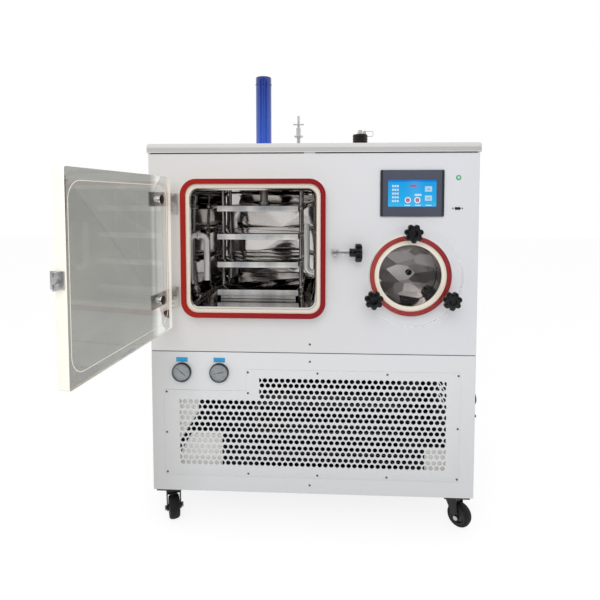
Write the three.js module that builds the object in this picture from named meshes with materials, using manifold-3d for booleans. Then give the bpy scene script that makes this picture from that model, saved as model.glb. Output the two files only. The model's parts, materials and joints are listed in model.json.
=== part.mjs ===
// Pilot freeze dryer: a sheet-metal cabinet on casters holding a square drying chamber with a
// clear door and a shelf press, a round cold trap with a clear window, and its cooling plant.
//
// Millimetres, +Z up. While the model is built, X = 0 is the middle of the cabinet, Y = 0 is the
// face of the front panels with +Y to the rear, and Z = 0 is the floor. At the end the whole
// machine is moved so that its origin is the middle of its footprint.

import * as THREE from 'three';
import { mergeVertices } from 'three/addons/utils/BufferGeometryUtils.js';
import Module from 'manifold-3d';

const wasm = await Module();
wasm.setup();

// ---------------------------------------------------------------- driving dimensions

const gap = 0.3; // between pieces that touch
const runningGap = 0.4; // around pins, axles and rods

// Cabinet
const cabinetWidth = 1080;
const cabinetDepth = 720;
const lowerHeight = 482; // floor tray to the seam between the front panels
const upperHeight = 663; // seam to the underside of the lid
const seamGap = 3;
const sheet = 2;
const panelReturn = 20; // folded edge of a front or rear panel
const lidHeight = 30;
const lidOverhang = 6;
const lidEdgeRadius = 8;
const lidLedge = 13; // thick rim of the lid, which rests on the frame
const panelTuck = 16; // how far the panels run up inside the lid
const louvreHeight = 8;
const louvrePitch = 24;
const frameAngle = 30;
const frameWall = 4;
const postWall = 5;
const deckThickness = 5;

// Casters
const casterHeight = 116;
const casterPlateWidth = 84;
const casterPlateDepth = 92;
const casterPlateThickness = 6;
const casterInsetX = 53; // cabinet side to swivel axis
const casterInsetY = 48;
const wheelDiameter = 80;
const wheelWidth = 34;
const casterTrail = 23;
const axleDiameter = 10;
const kingpinDiameter = 12;
const leftCasterYaw = 24; // degrees from straight forward, towards +X
const rightCasterYaw = 48;

// Drying chamber
const chamberX = -189;
const chamberRise = 350; // seam to the chamber's middle
const chamberWidth = 400;
const chamberHeight = 380;
const chamberDepth = 500;
const chamberCorner = 22;
const chamberWall = 6;
const collarProud = 24;
const gasketThickness = 12;
const gasketBand = 16.5;
const sealMarginX = 36; // seal outside the chamber's inside, on each side
const sealMarginZ = 37;
const sealCorner = 53;
const lipProud = 30; // front edge of the vessel wall, through the collar
const ribHeight = 30;
const ribThickness = 8;
const ribYs = [140, 420];
const legWidth = 40;
const legInset = 40; // vessel's side to the leg's middle
const legFoot = 48;
const vapourPortX = 24; // from the chamber's middle
const vapourPortZ = -100;
const vapourPortRadius = 39;

// Door
const doorThickness = 28;
const doorOverlapLeft = 22; // past the seal on the hinge side
const doorOverlapRight = 20;
const doorOverlapTop = 5.5;
const doorOverlapBottom = 25.5;
const doorCorner = 6;
const doorOpenAngle = 96.5; // at rest
const hingeAxisY = -50;
const upperHingeRise = 171; // door's middle to the hinge's middle
const lowerHingeDrop = 139;
const strapLength = 112;
const strapHeight = 43;
const strapThickness = 6;
const clampBoltX = 65; // from the pane's edge
const clampBoltDiameter = 22;
const hingePinDiameter = 8;
const knuckleRadius = 10;
const knuckleToPane = 1;
const knuckleHeight = 20;
const earThickness = 8;
const hingeBaseWidth = 42;
const hingeBaseHeight = 68;
const hingeBaseDrop = 16; // base plate's middle below the knuckle
const hingeBasePlate = 5;
const hingeBaseShift = 4; // towards the cabinet's side

// Swing bolt latch
const latchFromDoor = 10; // bolt axis beyond the pane's free edge
const latchPinY = -33;
const latchRodDiameter = 8;
const latchRodPastHub = 34;
const latchSlack = 6.1; // knob to strike, before it is screwed home
const latchHubLength = 18;
const clevisWidth = 23;
const clevisHeight = 17;
const clevisSlot = 8.6;
const strikeHeight = 40;
const strikeDepth = 24;
const strikePlateDepth = 33; // along the pane's edge
const strikeProud = 8.6; // past the pane's outer face
const strikePlate = 4;
const strikeFork = 18;
const strikeForkThickness = 6;

// Star knobs
const starRadius = 30;
const starThickness = 22;
const starHubRadius = 13.5;
const starLobes = 7;

// Shelf stack and press
const shelfWidth = 284;
const shelfDepth = 380;
const shelfThickness = 20;
const shelfPitch = 98;
const shelfFrontY = 85;
const bottomShelfLift = 14; // above the chamber floor
const shelfEarRadius = 14;
const guideRodDiameter = 12;
const guideRodFromEdge = 3; // rod axis outside the shelf's edge
const guideRodSpacingY = 140;
const ramDiameter = 59;
const ramRise = 280; // above the lid
const ramFlangeRadius = 55;
const ramFlangeThickness = 12;
const ramRodDiameter = 30;
const ramFootRadius = 22;
const ramFootHeight = 14;
const pressStroke = 75;
const ramRodGuided = 175; // rod left inside the cylinder at full stroke

// Oil pipes
const pipeDiameter = 21;
const pipeWall = 2;
const pipeY = 60;
const pipeBend = 22;
const leftPipeZ = 36; // through the wall, from the chamber's middle
const leftPipeEnd = -118;
const rightPipeZ = -90;
const rightPipeEnd = 77;
const pipeFromWall = 28;
const pipeOutside = 40;

// Cold trap
const trapRise = 264; // seam to the trap's middle
const trapRadius = 100;
const trapWall = 5;
const trapDepth = 420;
const trapCollarProud = 14;
const trapGasketThickness = 8;
const trapGasketBand = 15;
const trapSealBand = 30; // trap's inside to the outside of its seal
const windowThickness = 22;
const studFromSeal = 10;
const windowPastStuds = 21;
const knobPastWindow = 4; // end of the swung-open clamp's knob, past the window's left edge
const studDiameter = 8;
const trapHubLength = 10;
const baffleY = 60;
const baffleHoleRadius = 11;
const baffleHoleX = 8;
const studEarPastStuds = 15;
const studEarWidth = 24;
const trapFootYs = [300, 330];
const trapFootWidth = 120;
const studEarThickness = 6;
const ductRadius = 44.5;
const ductWall = 3;
const ductY = 615;
const nozzleLength = 30; // out of a vessel's back, into the duct

// Front fittings
const touchPanelFromTrap = 5; // its middle, to the right of the trap's
const touchPanelRise = 530; // seam to its middle
const touchPanelWidth = 204;
const touchPanelHeight = 150;
const touchPanelProud = 6;
const screenWidth = 154;
const screenHeight = 86;
const gaugeDrop = 70; // below the seam
const gaugeFromSide = [105, 232];
const needleTurns = [-49, -101]; // degrees from straight up
const gaugeRadius = 32.5;
const gaugeProud = 12;
const dialRadius = 27.5;
const ventCoverInsetLeft = 44;
const ventCoverInsetRight = 50;
const ventCoverBottom = 55.5; // above the floor tray
const ventCoverDrop = 58.5; // below the seam
const ventCoverStepDrop = 132; // the same, under the gauges
const ventCoverStepInset = 323.4;
const ventBorder = 34;

// Cooling plant
const condenserWidth = 520;
const condenserHeight = 330;
const condenserThickness = 60;
const condenserX = 60;
const condenserY = 70;
const condenserLift = 22;
const fanRadius = 145;
const fanBlades = 5;
const compressorRadius = 95;
const compressorHeight = 270;
const compressorX = 160;
const compressorY = 520;
const pumpX = -385;
const pumpY = 150;

// On the lid
const lidFittingY = 250;
const ventValveX = -54;
const vacuumPortX = 177;
const vacuumPortRadius = 26.5;
const vacuumPortHeight = 62;
const portStubRadius = 17;
const ventStemRadius = 8;
const ventValveHeight = 88;

// ---------------------------------------------------------------- places worked out from them

const trayZ = casterHeight + gap; // underside of the floor tray
const seamZ = trayZ + lowerHeight;
const lidZ = seamZ + upperHeight; // underside of the lid's skirt
const lidTop = lidZ + lidHeight;
const halfWidth = cabinetWidth / 2;
const chamberZ = lowerHeight + chamberRise; // above the floor tray, as the next ones are
const trapZ = lowerHeight + trapRise;
const touchPanelZ = lowerHeight + touchPanelRise;
const gaugeZ = lowerHeight - gaugeDrop;
const gaugeXs = gaugeFromSide.map((inset) => inset - halfWidth);
const ventCoverLeft = ventCoverInsetLeft - halfWidth;
const ventCoverRight = halfWidth - ventCoverInsetRight;
const ventCoverStepX = ventCoverStepInset - halfWidth;
const ventCoverTop = lowerHeight - ventCoverDrop;
const ventCoverStepZ = lowerHeight - ventCoverStepDrop;
const sealWidth = chamberWidth + 2 * sealMarginX;
const sealHeight = chamberHeight + 2 * sealMarginZ;
const doorWidth = sealWidth + doorOverlapLeft + doorOverlapRight;
const doorHeight = sealHeight + doorOverlapTop + doorOverlapBottom;
const doorZ = chamberZ + (doorOverlapTop - doorOverlapBottom) / 2;
const hingeToPane = knuckleRadius + knuckleToPane; // hinge axis to the pane's edge
const sealLeft = chamberX - sealWidth / 2;
const paneLeft = sealLeft - doorOverlapLeft;
const hingeX = paneLeft - hingeToPane;
const paneInnerY = -(collarProud + gasketThickness) - gap; // closed door
const paneOuterY = paneInnerY - doorThickness;
const latchX = paneLeft + doorWidth + latchFromDoor;
const latchHubStart = latchPinY - (paneOuterY - strikeProud) + latchSlack; // from the pin
const latchRodLength = latchHubStart + latchRodPastHub;
const trapSealRadius = trapRadius + trapSealBand;
const studCircleRadius = trapSealRadius + studFromSeal;
const windowRadius = studCircleRadius + windowPastStuds;
const trapX = latchX + latchHubStart + latchHubLength + starThickness - knobPastWindow + windowRadius;
const touchPanelX = trapX + touchPanelFromTrap;
const studEarReach = studCircleRadius + studEarPastStuds;
const shelfMiddleY = shelfFrontY + shelfDepth / 2;
const chamberFloorZ = trayZ + chamberZ - chamberHeight / 2;
const chamberCeilingZ = chamberFloorZ + chamberHeight;

// ---------------------------------------------------------------- shaping tools

// A closed geometry as a solid that can be joined and cut.
function solid(geometry) {
  geometry.deleteAttribute('normal');
  geometry.deleteAttribute('uv');
  const merged = mergeVertices(geometry, 1e-3);
  return new wasm.Manifold(new wasm.Mesh({
    numProp: 3,
    vertProperties: Float32Array.from(merged.attributes.position.array),
    triVerts: Uint32Array.from(merged.index.array),
  }));
}

function geometryOf(body) {
  const mesh = body.getMesh();
  const geometry = new THREE.BufferGeometry();
  geometry.setAttribute('position', new THREE.BufferAttribute(mesh.vertProperties, 3));
  geometry.setIndex(new THREE.BufferAttribute(mesh.triVerts, 1));
  geometry.computeVertexNormals();
  return geometry;
}

function join(...bodies) {
  return bodies.reduce((whole, body) => whole.add(body));
}

function cut(body, ...tools) {
  return tools.reduce((rest, tool) => rest.subtract(tool), body);
}

function block([x0, x1], [y0, y1], [z0, z1]) {
  const geometry = new THREE.BoxGeometry(x1 - x0, y1 - y0, z1 - z0);
  geometry.translate((x0 + x1) / 2, (y0 + y1) / 2, (z0 + z1) / 2);
  return solid(geometry);
}

// Round bar along an axis, between two stations; the other two coordinates come in X, Y, Z order.
function bar(axis, radius, [from, to], [a, b] = [0, 0], sides = 14) {
  const geometry = new THREE.CylinderGeometry(radius, radius, to - from, sides);
  geometry.rotateY(Math.PI / sides);
  const middle = (from + to) / 2;
  if (axis === 'x') {
    geometry.rotateZ(Math.PI / 2);
    geometry.translate(middle, a, b);
  } else if (axis === 'y') {
    geometry.translate(a, middle, b);
  } else {
    geometry.rotateX(Math.PI / 2);
    geometry.translate(a, b, middle);
  }
  return solid(geometry);
}

// Ring along an axis, between two stations.
function ring(axis, outer, inner, span, at = [0, 0], sides = 32) {
  const hole = [span[0] - 1, span[1] + 1];
  return bar(axis, outer, span, at, sides).subtract(bar(axis, inner, hole, at, sides));
}

function roundedRectangle(width, height, radius, x = 0, y = 0) {
  const right = x + width / 2 - radius;
  const left = x - width / 2 + radius;
  const top = y + height / 2 - radius;
  const bottom = y - height / 2 + radius;
  const shape = new THREE.Shape();
  shape.absarc(right, top, radius, 0, Math.PI / 2);
  shape.absarc(left, top, radius, Math.PI / 2, Math.PI);
  shape.absarc(left, bottom, radius, Math.PI, 1.5 * Math.PI);
  shape.absarc(right, bottom, radius, 1.5 * Math.PI, 2 * Math.PI);
  return shape;
}

function polygon(points) {
  return new THREE.Shape(points.map(([x, y]) => new THREE.Vector2(x, y)));
}

// A shape drawn in X and Z, as thick as the span in Y.
function slabY(shape, [y0, y1], curveSegments = 3) {
  const geometry = new THREE.ExtrudeGeometry(shape, { depth: y1 - y0, bevelEnabled: false, curveSegments });
  geometry.rotateX(Math.PI / 2);
  geometry.translate(0, y1, 0);
  return solid(geometry);
}

// A shape drawn in X and Y, as thick as the span in Z.
function slabZ(shape, [z0, z1], curveSegments = 3) {
  const geometry = new THREE.ExtrudeGeometry(shape, { depth: z1 - z0, bevelEnabled: false, curveSegments });
  geometry.translate(0, 0, z0);
  return solid(geometry);
}

// A profile of [radius, height] points turned about Z.
function turned(profile, sides = 24) {
  const points = profile.map(([radius, height]) => new THREE.Vector2(radius, height));
  const geometry = new THREE.LatheGeometry(points, sides);
  geometry.rotateX(Math.PI / 2);
  return solid(geometry);
}

// The same, turned about Y, with heights measured towards the rear.
function turnedY(profile, sides = 32) {
  const points = profile.map(([radius, y]) => new THREE.Vector2(radius, y));
  const geometry = new THREE.LatheGeometry(points, sides);
  geometry.rotateY(Math.PI / sides);
  return solid(geometry);
}

// Pipe with an open bore along a path of straight runs joined by bends.
function pipe(points, bend, outer, bore, steps, sides) {
  const path = new THREE.CurvePath();
  let from = points[0];
  for (let i = 1; i < points.length - 1; i += 1) {
    const corner = points[i];
    const before = corner.clone().add(points[i - 1].clone().sub(corner).setLength(bend));
    const after = corner.clone().add(points[i + 1].clone().sub(corner).setLength(bend));
    path.add(new THREE.LineCurve3(from, before));
    path.add(new THREE.QuadraticBezierCurve3(before, corner, after));
    from = after;
  }
  path.add(new THREE.LineCurve3(from, points.at(-1)));
  const section = new THREE.Shape();
  section.absarc(0, 0, outer, 0, 2 * Math.PI);
  const hole = new THREE.Path();
  hole.absarc(0, 0, bore, 0, 2 * Math.PI);
  section.holes.push(hole);
  const curveSegments = sides / 2;
  const geometry = new THREE.ExtrudeGeometry(section, { steps, extrudePath: path, curveSegments });
  return solid(geometry);
}

// ---------------------------------------------------------------- finishes

const finish = {
  paint: () => new THREE.MeshStandardMaterial({ color: 0xd8d7d4, roughness: 0.45, metalness: 0 }),
  frame: () => new THREE.MeshStandardMaterial({ color: 0x8d9094, roughness: 0.6, metalness: 0.4 }),
  polished: () => new THREE.MeshStandardMaterial({ color: 0xc9c9c8, roughness: 0.15, metalness: 1 }),
  steel: () => new THREE.MeshStandardMaterial({ color: 0xb4b4b2, roughness: 0.35, metalness: 1 }),
  cream: () => new THREE.MeshStandardMaterial({ color: 0xe6e2d6, roughness: 0.5, metalness: 0 }),
  silicone: () => new THREE.MeshStandardMaterial({ color: 0xa01c16, roughness: 0.55, metalness: 0 }),
  clear: () => new THREE.MeshStandardMaterial({
    color: 0xeef2f0, roughness: 0.05, metalness: 0, transparent: true, opacity: 0.3,
  }),
  black: () => new THREE.MeshStandardMaterial({ color: 0x14141a, roughness: 0.35, metalness: 0 }),
  rubber: () => new THREE.MeshStandardMaterial({ color: 0x1b1b1d, roughness: 0.8, metalness: 0 }),
  blue: () => new THREE.MeshStandardMaterial({ color: 0x2b55b5, roughness: 0.35, metalness: 0 }),
  bezel: () => new THREE.MeshStandardMaterial({ color: 0x3d414d, roughness: 0.5, metalness: 0 }),
  brass: () => new THREE.MeshStandardMaterial({ color: 0xb08d4a, roughness: 0.35, metalness: 1 }),
};

const machine = new THREE.Group();

function piece(parent, name, body, material) {
  const mesh = new THREE.Mesh(geometryOf(body), material());
  mesh.name = name;
  parent.add(mesh);
  return mesh;
}

function groupAt(parent, x, y, z, yaw = 0) {
  const group = new THREE.Group();
  group.position.set(x, y, z);
  group.rotation.z = THREE.MathUtils.degToRad(yaw);
  parent.add(group);
  return group;
}

// ---------------------------------------------------------------- frame

const frameX = halfWidth - sheet - gap;
const frameFront = sheet + gap;
const frameBack = cabinetDepth - sheet - gap;
const frameTop = lidTop - lidEdgeRadius - gap;
const deckTop = seamZ;

// L-section post in a corner of the frame, open towards the inside.
function cornerPost(sideX, sideY) {
  const x = sideX * frameX;
  const y = sideY < 0 ? frameFront : frameBack;
  const span = (at, side, size) => (side < 0 ? [at, at + size] : [at - size, at]);
  const tall = [trayZ, frameTop];
  return join(
    block(span(x, sideX, frameAngle), span(y, sideY, postWall), tall),
    block(span(x, sideX, postWall), span(y, sideY, frameAngle), tall),
  );
}

function baseFrame() {
  const floor = block([-frameX, frameX], [frameFront, frameBack], [trayZ, trayZ + deckThickness]);
  const deck = block([-frameX, frameX], [frameFront, frameBack], [deckTop - deckThickness, deckTop]);
  const ringOuter = block([-frameX, frameX], [frameFront, frameBack], [frameTop - frameAngle, frameTop]);
  const inside = [frameX - frameWall, frameFront + frameWall, frameBack - frameWall];
  const ringInner = block(
    [-inside[0], inside[0]], [inside[1], inside[2]], [frameTop - frameAngle - 1, frameTop + 1]);
  const posts = [[-1, -1], [1, -1], [-1, 1], [1, 1]].map(([x, y]) => cornerPost(x, y));
  return join(floor, deck, ringOuter.subtract(ringInner), ...posts);
}

piece(machine, 'base_frame', baseFrame(), finish.frame);

// ---------------------------------------------------------------- casing

// Front or rear panel: a tray of folded sheet, open towards the cabinet.
function foldedPanel([z0, z1], faceY, inward) {
  const outerY = faceY + inward * panelReturn;
  const innerY = faceY + inward * sheet;
  const sorted = (a, b) => [Math.min(a, b), Math.max(a, b)];
  const outer = block([-halfWidth, halfWidth], sorted(faceY, outerY), [z0, z1]);
  const hollow = block(
    [-halfWidth + sheet, halfWidth - sheet],
    sorted(innerY, outerY + inward),
    [z0 - 1, z1 + 1],
  );
  return cut(outer, hollow);
}

const throughPanel = [-5, 5];
const touchPanelLip = 8; // bezel past the edge of its hole
const touchPanelHalf = [touchPanelWidth / 2 - touchPanelLip, touchPanelHeight / 2 - touchPanelLip];
const touchPanelHole = block(
  [touchPanelX - touchPanelHalf[0], touchPanelX + touchPanelHalf[0]],
  throughPanel,
  [trayZ + touchPanelZ - touchPanelHalf[1], trayZ + touchPanelZ + touchPanelHalf[1]],
);
const vesselWidth = chamberWidth + 2 * chamberWall;
const vesselHeight = chamberHeight + 2 * chamberWall;
const vesselCorner = chamberCorner + chamberWall;
const holeMargin = 3; // around what comes through a panel
const chamberHole = slabY(roundedRectangle(
  vesselWidth + 2 * holeMargin, vesselHeight + 2 * holeMargin, vesselCorner + holeMargin,
  chamberX, trayZ + chamberZ), throughPanel);
const vesselRadius = trapRadius + trapWall;
const trapHole = bar('y', vesselRadius + holeMargin, throughPanel, [trapX, trayZ + trapZ], 36);
const studAngles = [90, 210, 330];
const studPlaces = studAngles.map((angle) => {
  const turn = THREE.MathUtils.degToRad(angle);
  return [studCircleRadius * Math.cos(turn), studCircleRadius * Math.sin(turn)];
});
const studHoles = studPlaces.map(
  ([x, z]) => bar('y', studDiameter / 2 + 1, throughPanel, [trapX + x, trayZ + trapZ + z]));

piece(machine, 'upper_front_panel', cut(
  foldedPanel([seamZ + seamGap / 2, lidZ + panelTuck], 0, 1),
  touchPanelHole, chamberHole, trapHole, ...studHoles,
), finish.paint);

const ventHole = join(
  block(
    [ventCoverLeft + ventBorder, ventCoverRight - ventBorder],
    throughPanel,
    [trayZ + ventCoverBottom + ventBorder / 2, trayZ + ventCoverStepZ - ventBorder / 2]),
  block(
    [ventCoverStepX + ventBorder / 2, ventCoverRight - ventBorder],
    throughPanel,
    [trayZ + ventCoverStepZ - ventBorder, trayZ + ventCoverTop - ventBorder / 2]),
);
const gaugeBodyRadius = gaugeRadius - 4;
const gaugeHoles = gaugeXs.map((x) => bar('y', gaugeBodyRadius + 1, throughPanel, [x, trayZ + gaugeZ]));

piece(machine, 'lower_front_panel', cut(
  foldedPanel([trayZ, seamZ - seamGap / 2], 0, 1), ventHole, ...gaugeHoles,
), finish.paint);

const ventOutline = polygon([
  [ventCoverLeft, ventCoverBottom],
  [ventCoverRight, ventCoverBottom],
  [ventCoverRight, ventCoverTop],
  [ventCoverStepX, ventCoverTop],
  [ventCoverStepX, ventCoverStepZ],
  [ventCoverLeft, ventCoverStepZ],
]);
const ventCover = slabY(ventOutline, [-sheet - gap, -gap]).translate([0, 0, trayZ]);
piece(machine, 'vent_cover', ventCover, finish.paint);

// A column of slots: through the rear panel along Y, or through both side panels along X.
function louvres(count, width, x, z, axis) {
  const slots = [];
  for (let i = 0; i < count; i += 1) {
    const bottom = z + i * louvrePitch;
    const tall = [bottom, bottom + louvreHeight];
    const across = [x - width / 2, x + width / 2];
    slots.push(axis === 'y'
      ? block(across, [cabinetDepth - 10, cabinetDepth + 10], tall)
      : block([-halfWidth - 10, halfWidth + 10], across, tall));
  }
  return slots;
}

const sideLouvres = louvres(9, 300, cabinetDepth / 2, trayZ + 130, 'x');
const sideSpanY = [panelReturn + gap, cabinetDepth - panelReturn - gap];
const sideSpanZ = [trayZ, lidZ + panelTuck];
piece(machine, 'left_side_panel', cut(
  block([-halfWidth, -halfWidth + sheet], sideSpanY, sideSpanZ), ...sideLouvres), finish.paint);
piece(machine, 'right_side_panel', cut(
  block([halfWidth - sheet, halfWidth], sideSpanY, sideSpanZ), ...sideLouvres), finish.paint);

piece(machine, 'rear_panel', cut(
  foldedPanel([trayZ, lidZ + panelTuck], cabinetDepth, -1),
  ...louvres(10, 320, -260, trayZ + 120, 'y'),
  ...louvres(10, 320, 260, trayZ + 120, 'y'),
), finish.paint);

// Lid: folded sheet with rounded upper edges and a skirt outside the panels.
function topCover() {
  const width = cabinetWidth + 2 * lidOverhang;
  const depth = cabinetDepth + 2 * lidOverhang;
  const drawn = roundedRectangle(
    width - 2 * lidEdgeRadius, depth - 2 * lidEdgeRadius, 6, 0, cabinetDepth / 2);
  const shell = new THREE.ExtrudeGeometry(drawn, {
    depth: lidHeight,
    bevelEnabled: true,
    bevelThickness: lidEdgeRadius,
    bevelSize: lidEdgeRadius,
    bevelSegments: 3,
    curveSegments: 2,
  });
  shell.translate(0, 0, lidTop - lidHeight - lidEdgeRadius);
  const pocket = (inset, top) => slabZ(roundedRectangle(
    width - 2 * inset, depth - 2 * inset, lidEdgeRadius, 0, cabinetDepth / 2), [lidZ - 100, top], 2);
  const below = block([-width, width], [-depth, 2 * depth], [lidZ - 100, lidZ]);
  return cut(
    solid(shell), pocket(sheet + 1, lidTop - lidEdgeRadius), pocket(lidLedge, lidTop - sheet), below,
    bar('z', ramDiameter / 2 + 2, [lidZ, lidTop + 5], [chamberX, shelfMiddleY], 24),
    bar('z', ventStemRadius + 1, [lidZ, lidTop + 5], [ventValveX, lidFittingY]),
    bar('z', portStubRadius + 1, [lidZ, lidTop + 5], [vacuumPortX, lidFittingY], 20),
  );
}

piece(machine, 'top_cover', topCover(), finish.paint);

// ---------------------------------------------------------------- casters

const wheelRadius = wheelDiameter / 2;
const legThickness = 3;
const legGap = wheelWidth + 8;
const crownTop = casterHeight - casterPlateThickness - gap;
const crownThickness = 10;
const axleRadius = axleDiameter / 2;

// Wheel about X, hub wider than the tread, standing on a flat of its rim.
function casterWheel() {
  const half = wheelWidth / 2;
  const hub = half + 3;
  const bore = axleRadius + runningGap;
  const profile = [
    [bore, -hub], [14, -hub], [wheelRadius - 10, -half], [wheelRadius - 2, -half],
    [wheelRadius, -half + 3], [wheelRadius, half - 3], [wheelRadius - 2, half],
    [wheelRadius - 10, half], [14, hub], [bore, hub], [bore, -hub],
  ];
  const sides = 20;
  return turned(profile, sides).rotate([0, 0, 180 / sides]).rotate([0, 90, 0]);
}

// Two legs and the axle bolt; the wheel's middle is trail millimetres in front of the crown.
function forkLegs(trail) {
  const leg = polygon([
    [-22, crownTop - crownThickness], [22, crownTop - crownThickness],
    [trail * 0.4 + 16, wheelRadius + 22], [trail + 11, wheelRadius - 6], [trail + 5, wheelRadius - 11],
    [trail - 5, wheelRadius - 11], [trail - 11, wheelRadius - 6],
  ]);
  const bodies = [-1, 1].map((side) => {
    const at = side * (legGap / 2 + legThickness / 2);
    const geometry = new THREE.ExtrudeGeometry(leg, { depth: legThickness, bevelEnabled: false });
    geometry.rotateX(Math.PI / 2);
    geometry.rotateZ(-Math.PI / 2);
    geometry.translate(at + legThickness / 2, 0, 0);
    return solid(geometry);
  });
  const axle = bar('x', axleRadius, [-legGap / 2 - 8, legGap / 2 + 8], [-trail, wheelRadius], 12);
  const heads = [-1, 1].map((side) => {
    const at = side * (legGap / 2 + legThickness + 2.5);
    return bar('x', 8, [at - 2.6, at + 2.6], [-trail, wheelRadius], 6);
  });
  return join(...bodies, axle, ...heads);
}

function casterTopPlate() {
  const [halfWide, halfDeep] = [casterPlateWidth / 2, casterPlateDepth / 2];
  return block([-halfWide, halfWide], [-halfDeep, halfDeep],
    [casterHeight - casterPlateThickness, casterHeight]);
}

function swivelCaster(name, x, yaw) {
  const caster = groupAt(machine, x, casterInsetY, 0);
  const kingpin = join(
    bar('z', kingpinDiameter / 2, [crownTop - crownThickness - 6, crownTop + 2]),
    bar('z', kingpinDiameter / 2 + 4, [crownTop - crownThickness - 6, crownTop - crownThickness - gap]),
  );
  piece(caster, `caster_plate_${name}`, join(casterTopPlate(), kingpin), finish.rubber);
  const swivel = groupAt(caster, 0, 0, 0, yaw);
  const crown = join(
    bar('z', 27, [crownTop - crownThickness, crownTop], [0, 0], 20),
    block([-legGap / 2 - legThickness, legGap / 2 + legThickness], [-22, 22],
      [crownTop - crownThickness, crownTop - crownThickness + 4]),
    block([-legGap / 2 - 1, legGap / 2 + 1], [-22, -19], [wheelDiameter + 4, crownTop - crownThickness + 2]),
  );
  const bore = bar('z', kingpinDiameter / 2 + runningGap, [0, casterHeight]);
  piece(swivel, `caster_fork_${name}`, join(crown, forkLegs(casterTrail)).subtract(bore), finish.rubber);
  const wheel = groupAt(swivel, 0, -casterTrail, wheelRadius);
  piece(wheel, `caster_wheel_${name}`, casterWheel(), finish.rubber);
}

function rigidCaster(name, x) {
  const caster = groupAt(machine, x, cabinetDepth - casterInsetY, 0);
  const half = legGap / 2 + legThickness;
  const crown = block([-half, half], [-22, 22], [crownTop - crownThickness, casterHeight - 1]);
  piece(caster, `caster_bracket_${name}`, join(casterTopPlate(), crown, forkLegs(0)), finish.rubber);
  const wheel = groupAt(caster, 0, 0, wheelRadius);
  piece(wheel, `caster_wheel_${name}`, casterWheel(), finish.rubber);
}

swivelCaster('front_left', -halfWidth + casterInsetX, leftCasterYaw);
swivelCaster('front_right', halfWidth - casterInsetX, rightCasterYaw);
rigidCaster('rear_left', -halfWidth + casterInsetX);
rigidCaster('rear_right', halfWidth - casterInsetX);

// ---------------------------------------------------------------- drying chamber

const chamber = groupAt(machine, chamberX, 0, trayZ + chamberZ);
const legsDown = -chamberRise + gap; // deck, in the chamber group

function pipeHole(x, z) {
  return bar('x', pipeDiameter / 2 + gap, [x - 20, x + 20], [pipeY, z]);
}

function chamberVessel() {
  const backY = chamberDepth + chamberWall;
  const shell = slabY(roundedRectangle(vesselWidth, vesselHeight, vesselCorner), [-lipProud, backY]);
  const inside = slabY(
    roundedRectangle(chamberWidth, chamberHeight, chamberCorner), [-lipProud - 1, chamberDepth]);
  const ribs = ribYs.map((y) => slabY(
    roundedRectangle(vesselWidth + 2 * ribHeight, vesselHeight + 2 * ribHeight, vesselCorner),
    [y, y + ribThickness]));
  const legs = [];
  [-1, 1].forEach((side) => ribYs.forEach((y) => {
    const x = side * (vesselWidth / 2 - legInset);
    const across = [x - legWidth / 2, x + legWidth / 2];
    const middle = y + ribThickness / 2;
    legs.push(block(across, [y, y + ribThickness], [legsDown, -vesselHeight / 2]));
    legs.push(block(across, [middle - legFoot / 2, middle + legFoot / 2], [legsDown, legsDown + 5]));
  }));
  const nozzleY = [backY - 1, backY + nozzleLength];
  const nozzle = bar('y', vapourPortRadius + ductWall, nozzleY, [vapourPortX, vapourPortZ], 20);
  const portY = [chamberDepth - 10, backY + nozzleLength + 10];
  const port = bar('y', vapourPortRadius, portY, [vapourPortX, vapourPortZ], 20);
  const rodHole = bar('z', ramRodDiameter / 2 + 4, [0, 400], [0, shelfMiddleY]);
  // The ribs stop short of the ram's flange on the roof.
  const flangeSeat = bar('z', ramFlangeRadius + 3, [vesselHeight / 2, 400], [0, shelfMiddleY], 20);
  return cut(
    join(shell, ...ribs, ...legs, nozzle),
    inside, port, rodHole, flangeSeat,
    pipeHole(-chamberWidth / 2, leftPipeZ), pipeHole(chamberWidth / 2, rightPipeZ),
  );
}

piece(chamber, 'chamber_vessel', chamberVessel(), finish.polished);

piece(chamber, 'chamber_collar', cut(
  slabY(roundedRectangle(sealWidth, sealHeight, sealCorner), [-collarProud, -gap], 4),
  slabY(roundedRectangle(vesselWidth + 2 * gap, vesselHeight + 2 * gap, vesselCorner + gap), [-50, 5]),
), finish.cream);

// Gasket: a flat ring with its front edges rounded off.
function doorGasket() {
  const front = -(collarProud + gasketThickness);
  const layer = (inset, y0, y1) => cut(
    slabY(roundedRectangle(
      sealWidth - 2 * inset, sealHeight - 2 * inset, sealCorner - inset), [y0, y1], 4),
    slabY(roundedRectangle(
      sealWidth - 2 * (gasketBand - inset), sealHeight - 2 * (gasketBand - inset),
      sealCorner - gasketBand + inset), [y0 - 1, y1 + 1], 4),
  );
  const back = -collarProud - gap;
  return join(layer(0, front + 2.5, back), layer(2.5, front, front + 2.6));
}

piece(chamber, 'door_gasket', doorGasket(), finish.silicone);

// ---------------------------------------------------------------- shelf stack and press

const shelfStack = groupAt(machine, chamberX, shelfMiddleY, chamberFloorZ + bottomShelfLift);
const rodX = shelfWidth / 2 + guideRodFromEdge;
const rodPlaces = [-1, 1].flatMap(
  (side) => [-1, 1].map((end) => [side * rodX, end * guideRodSpacingY / 2]));

function shelfPlate(z) {
  const plate = block(
    [-shelfWidth / 2, shelfWidth / 2], [-shelfDepth / 2, shelfDepth / 2], [z, z + shelfThickness]);
  const ears = rodPlaces.map(
    ([x, y]) => bar('z', shelfEarRadius, [z + 4, z + shelfThickness - 4], [x, y], 12));
  return join(plate, ...ears);
}

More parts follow.
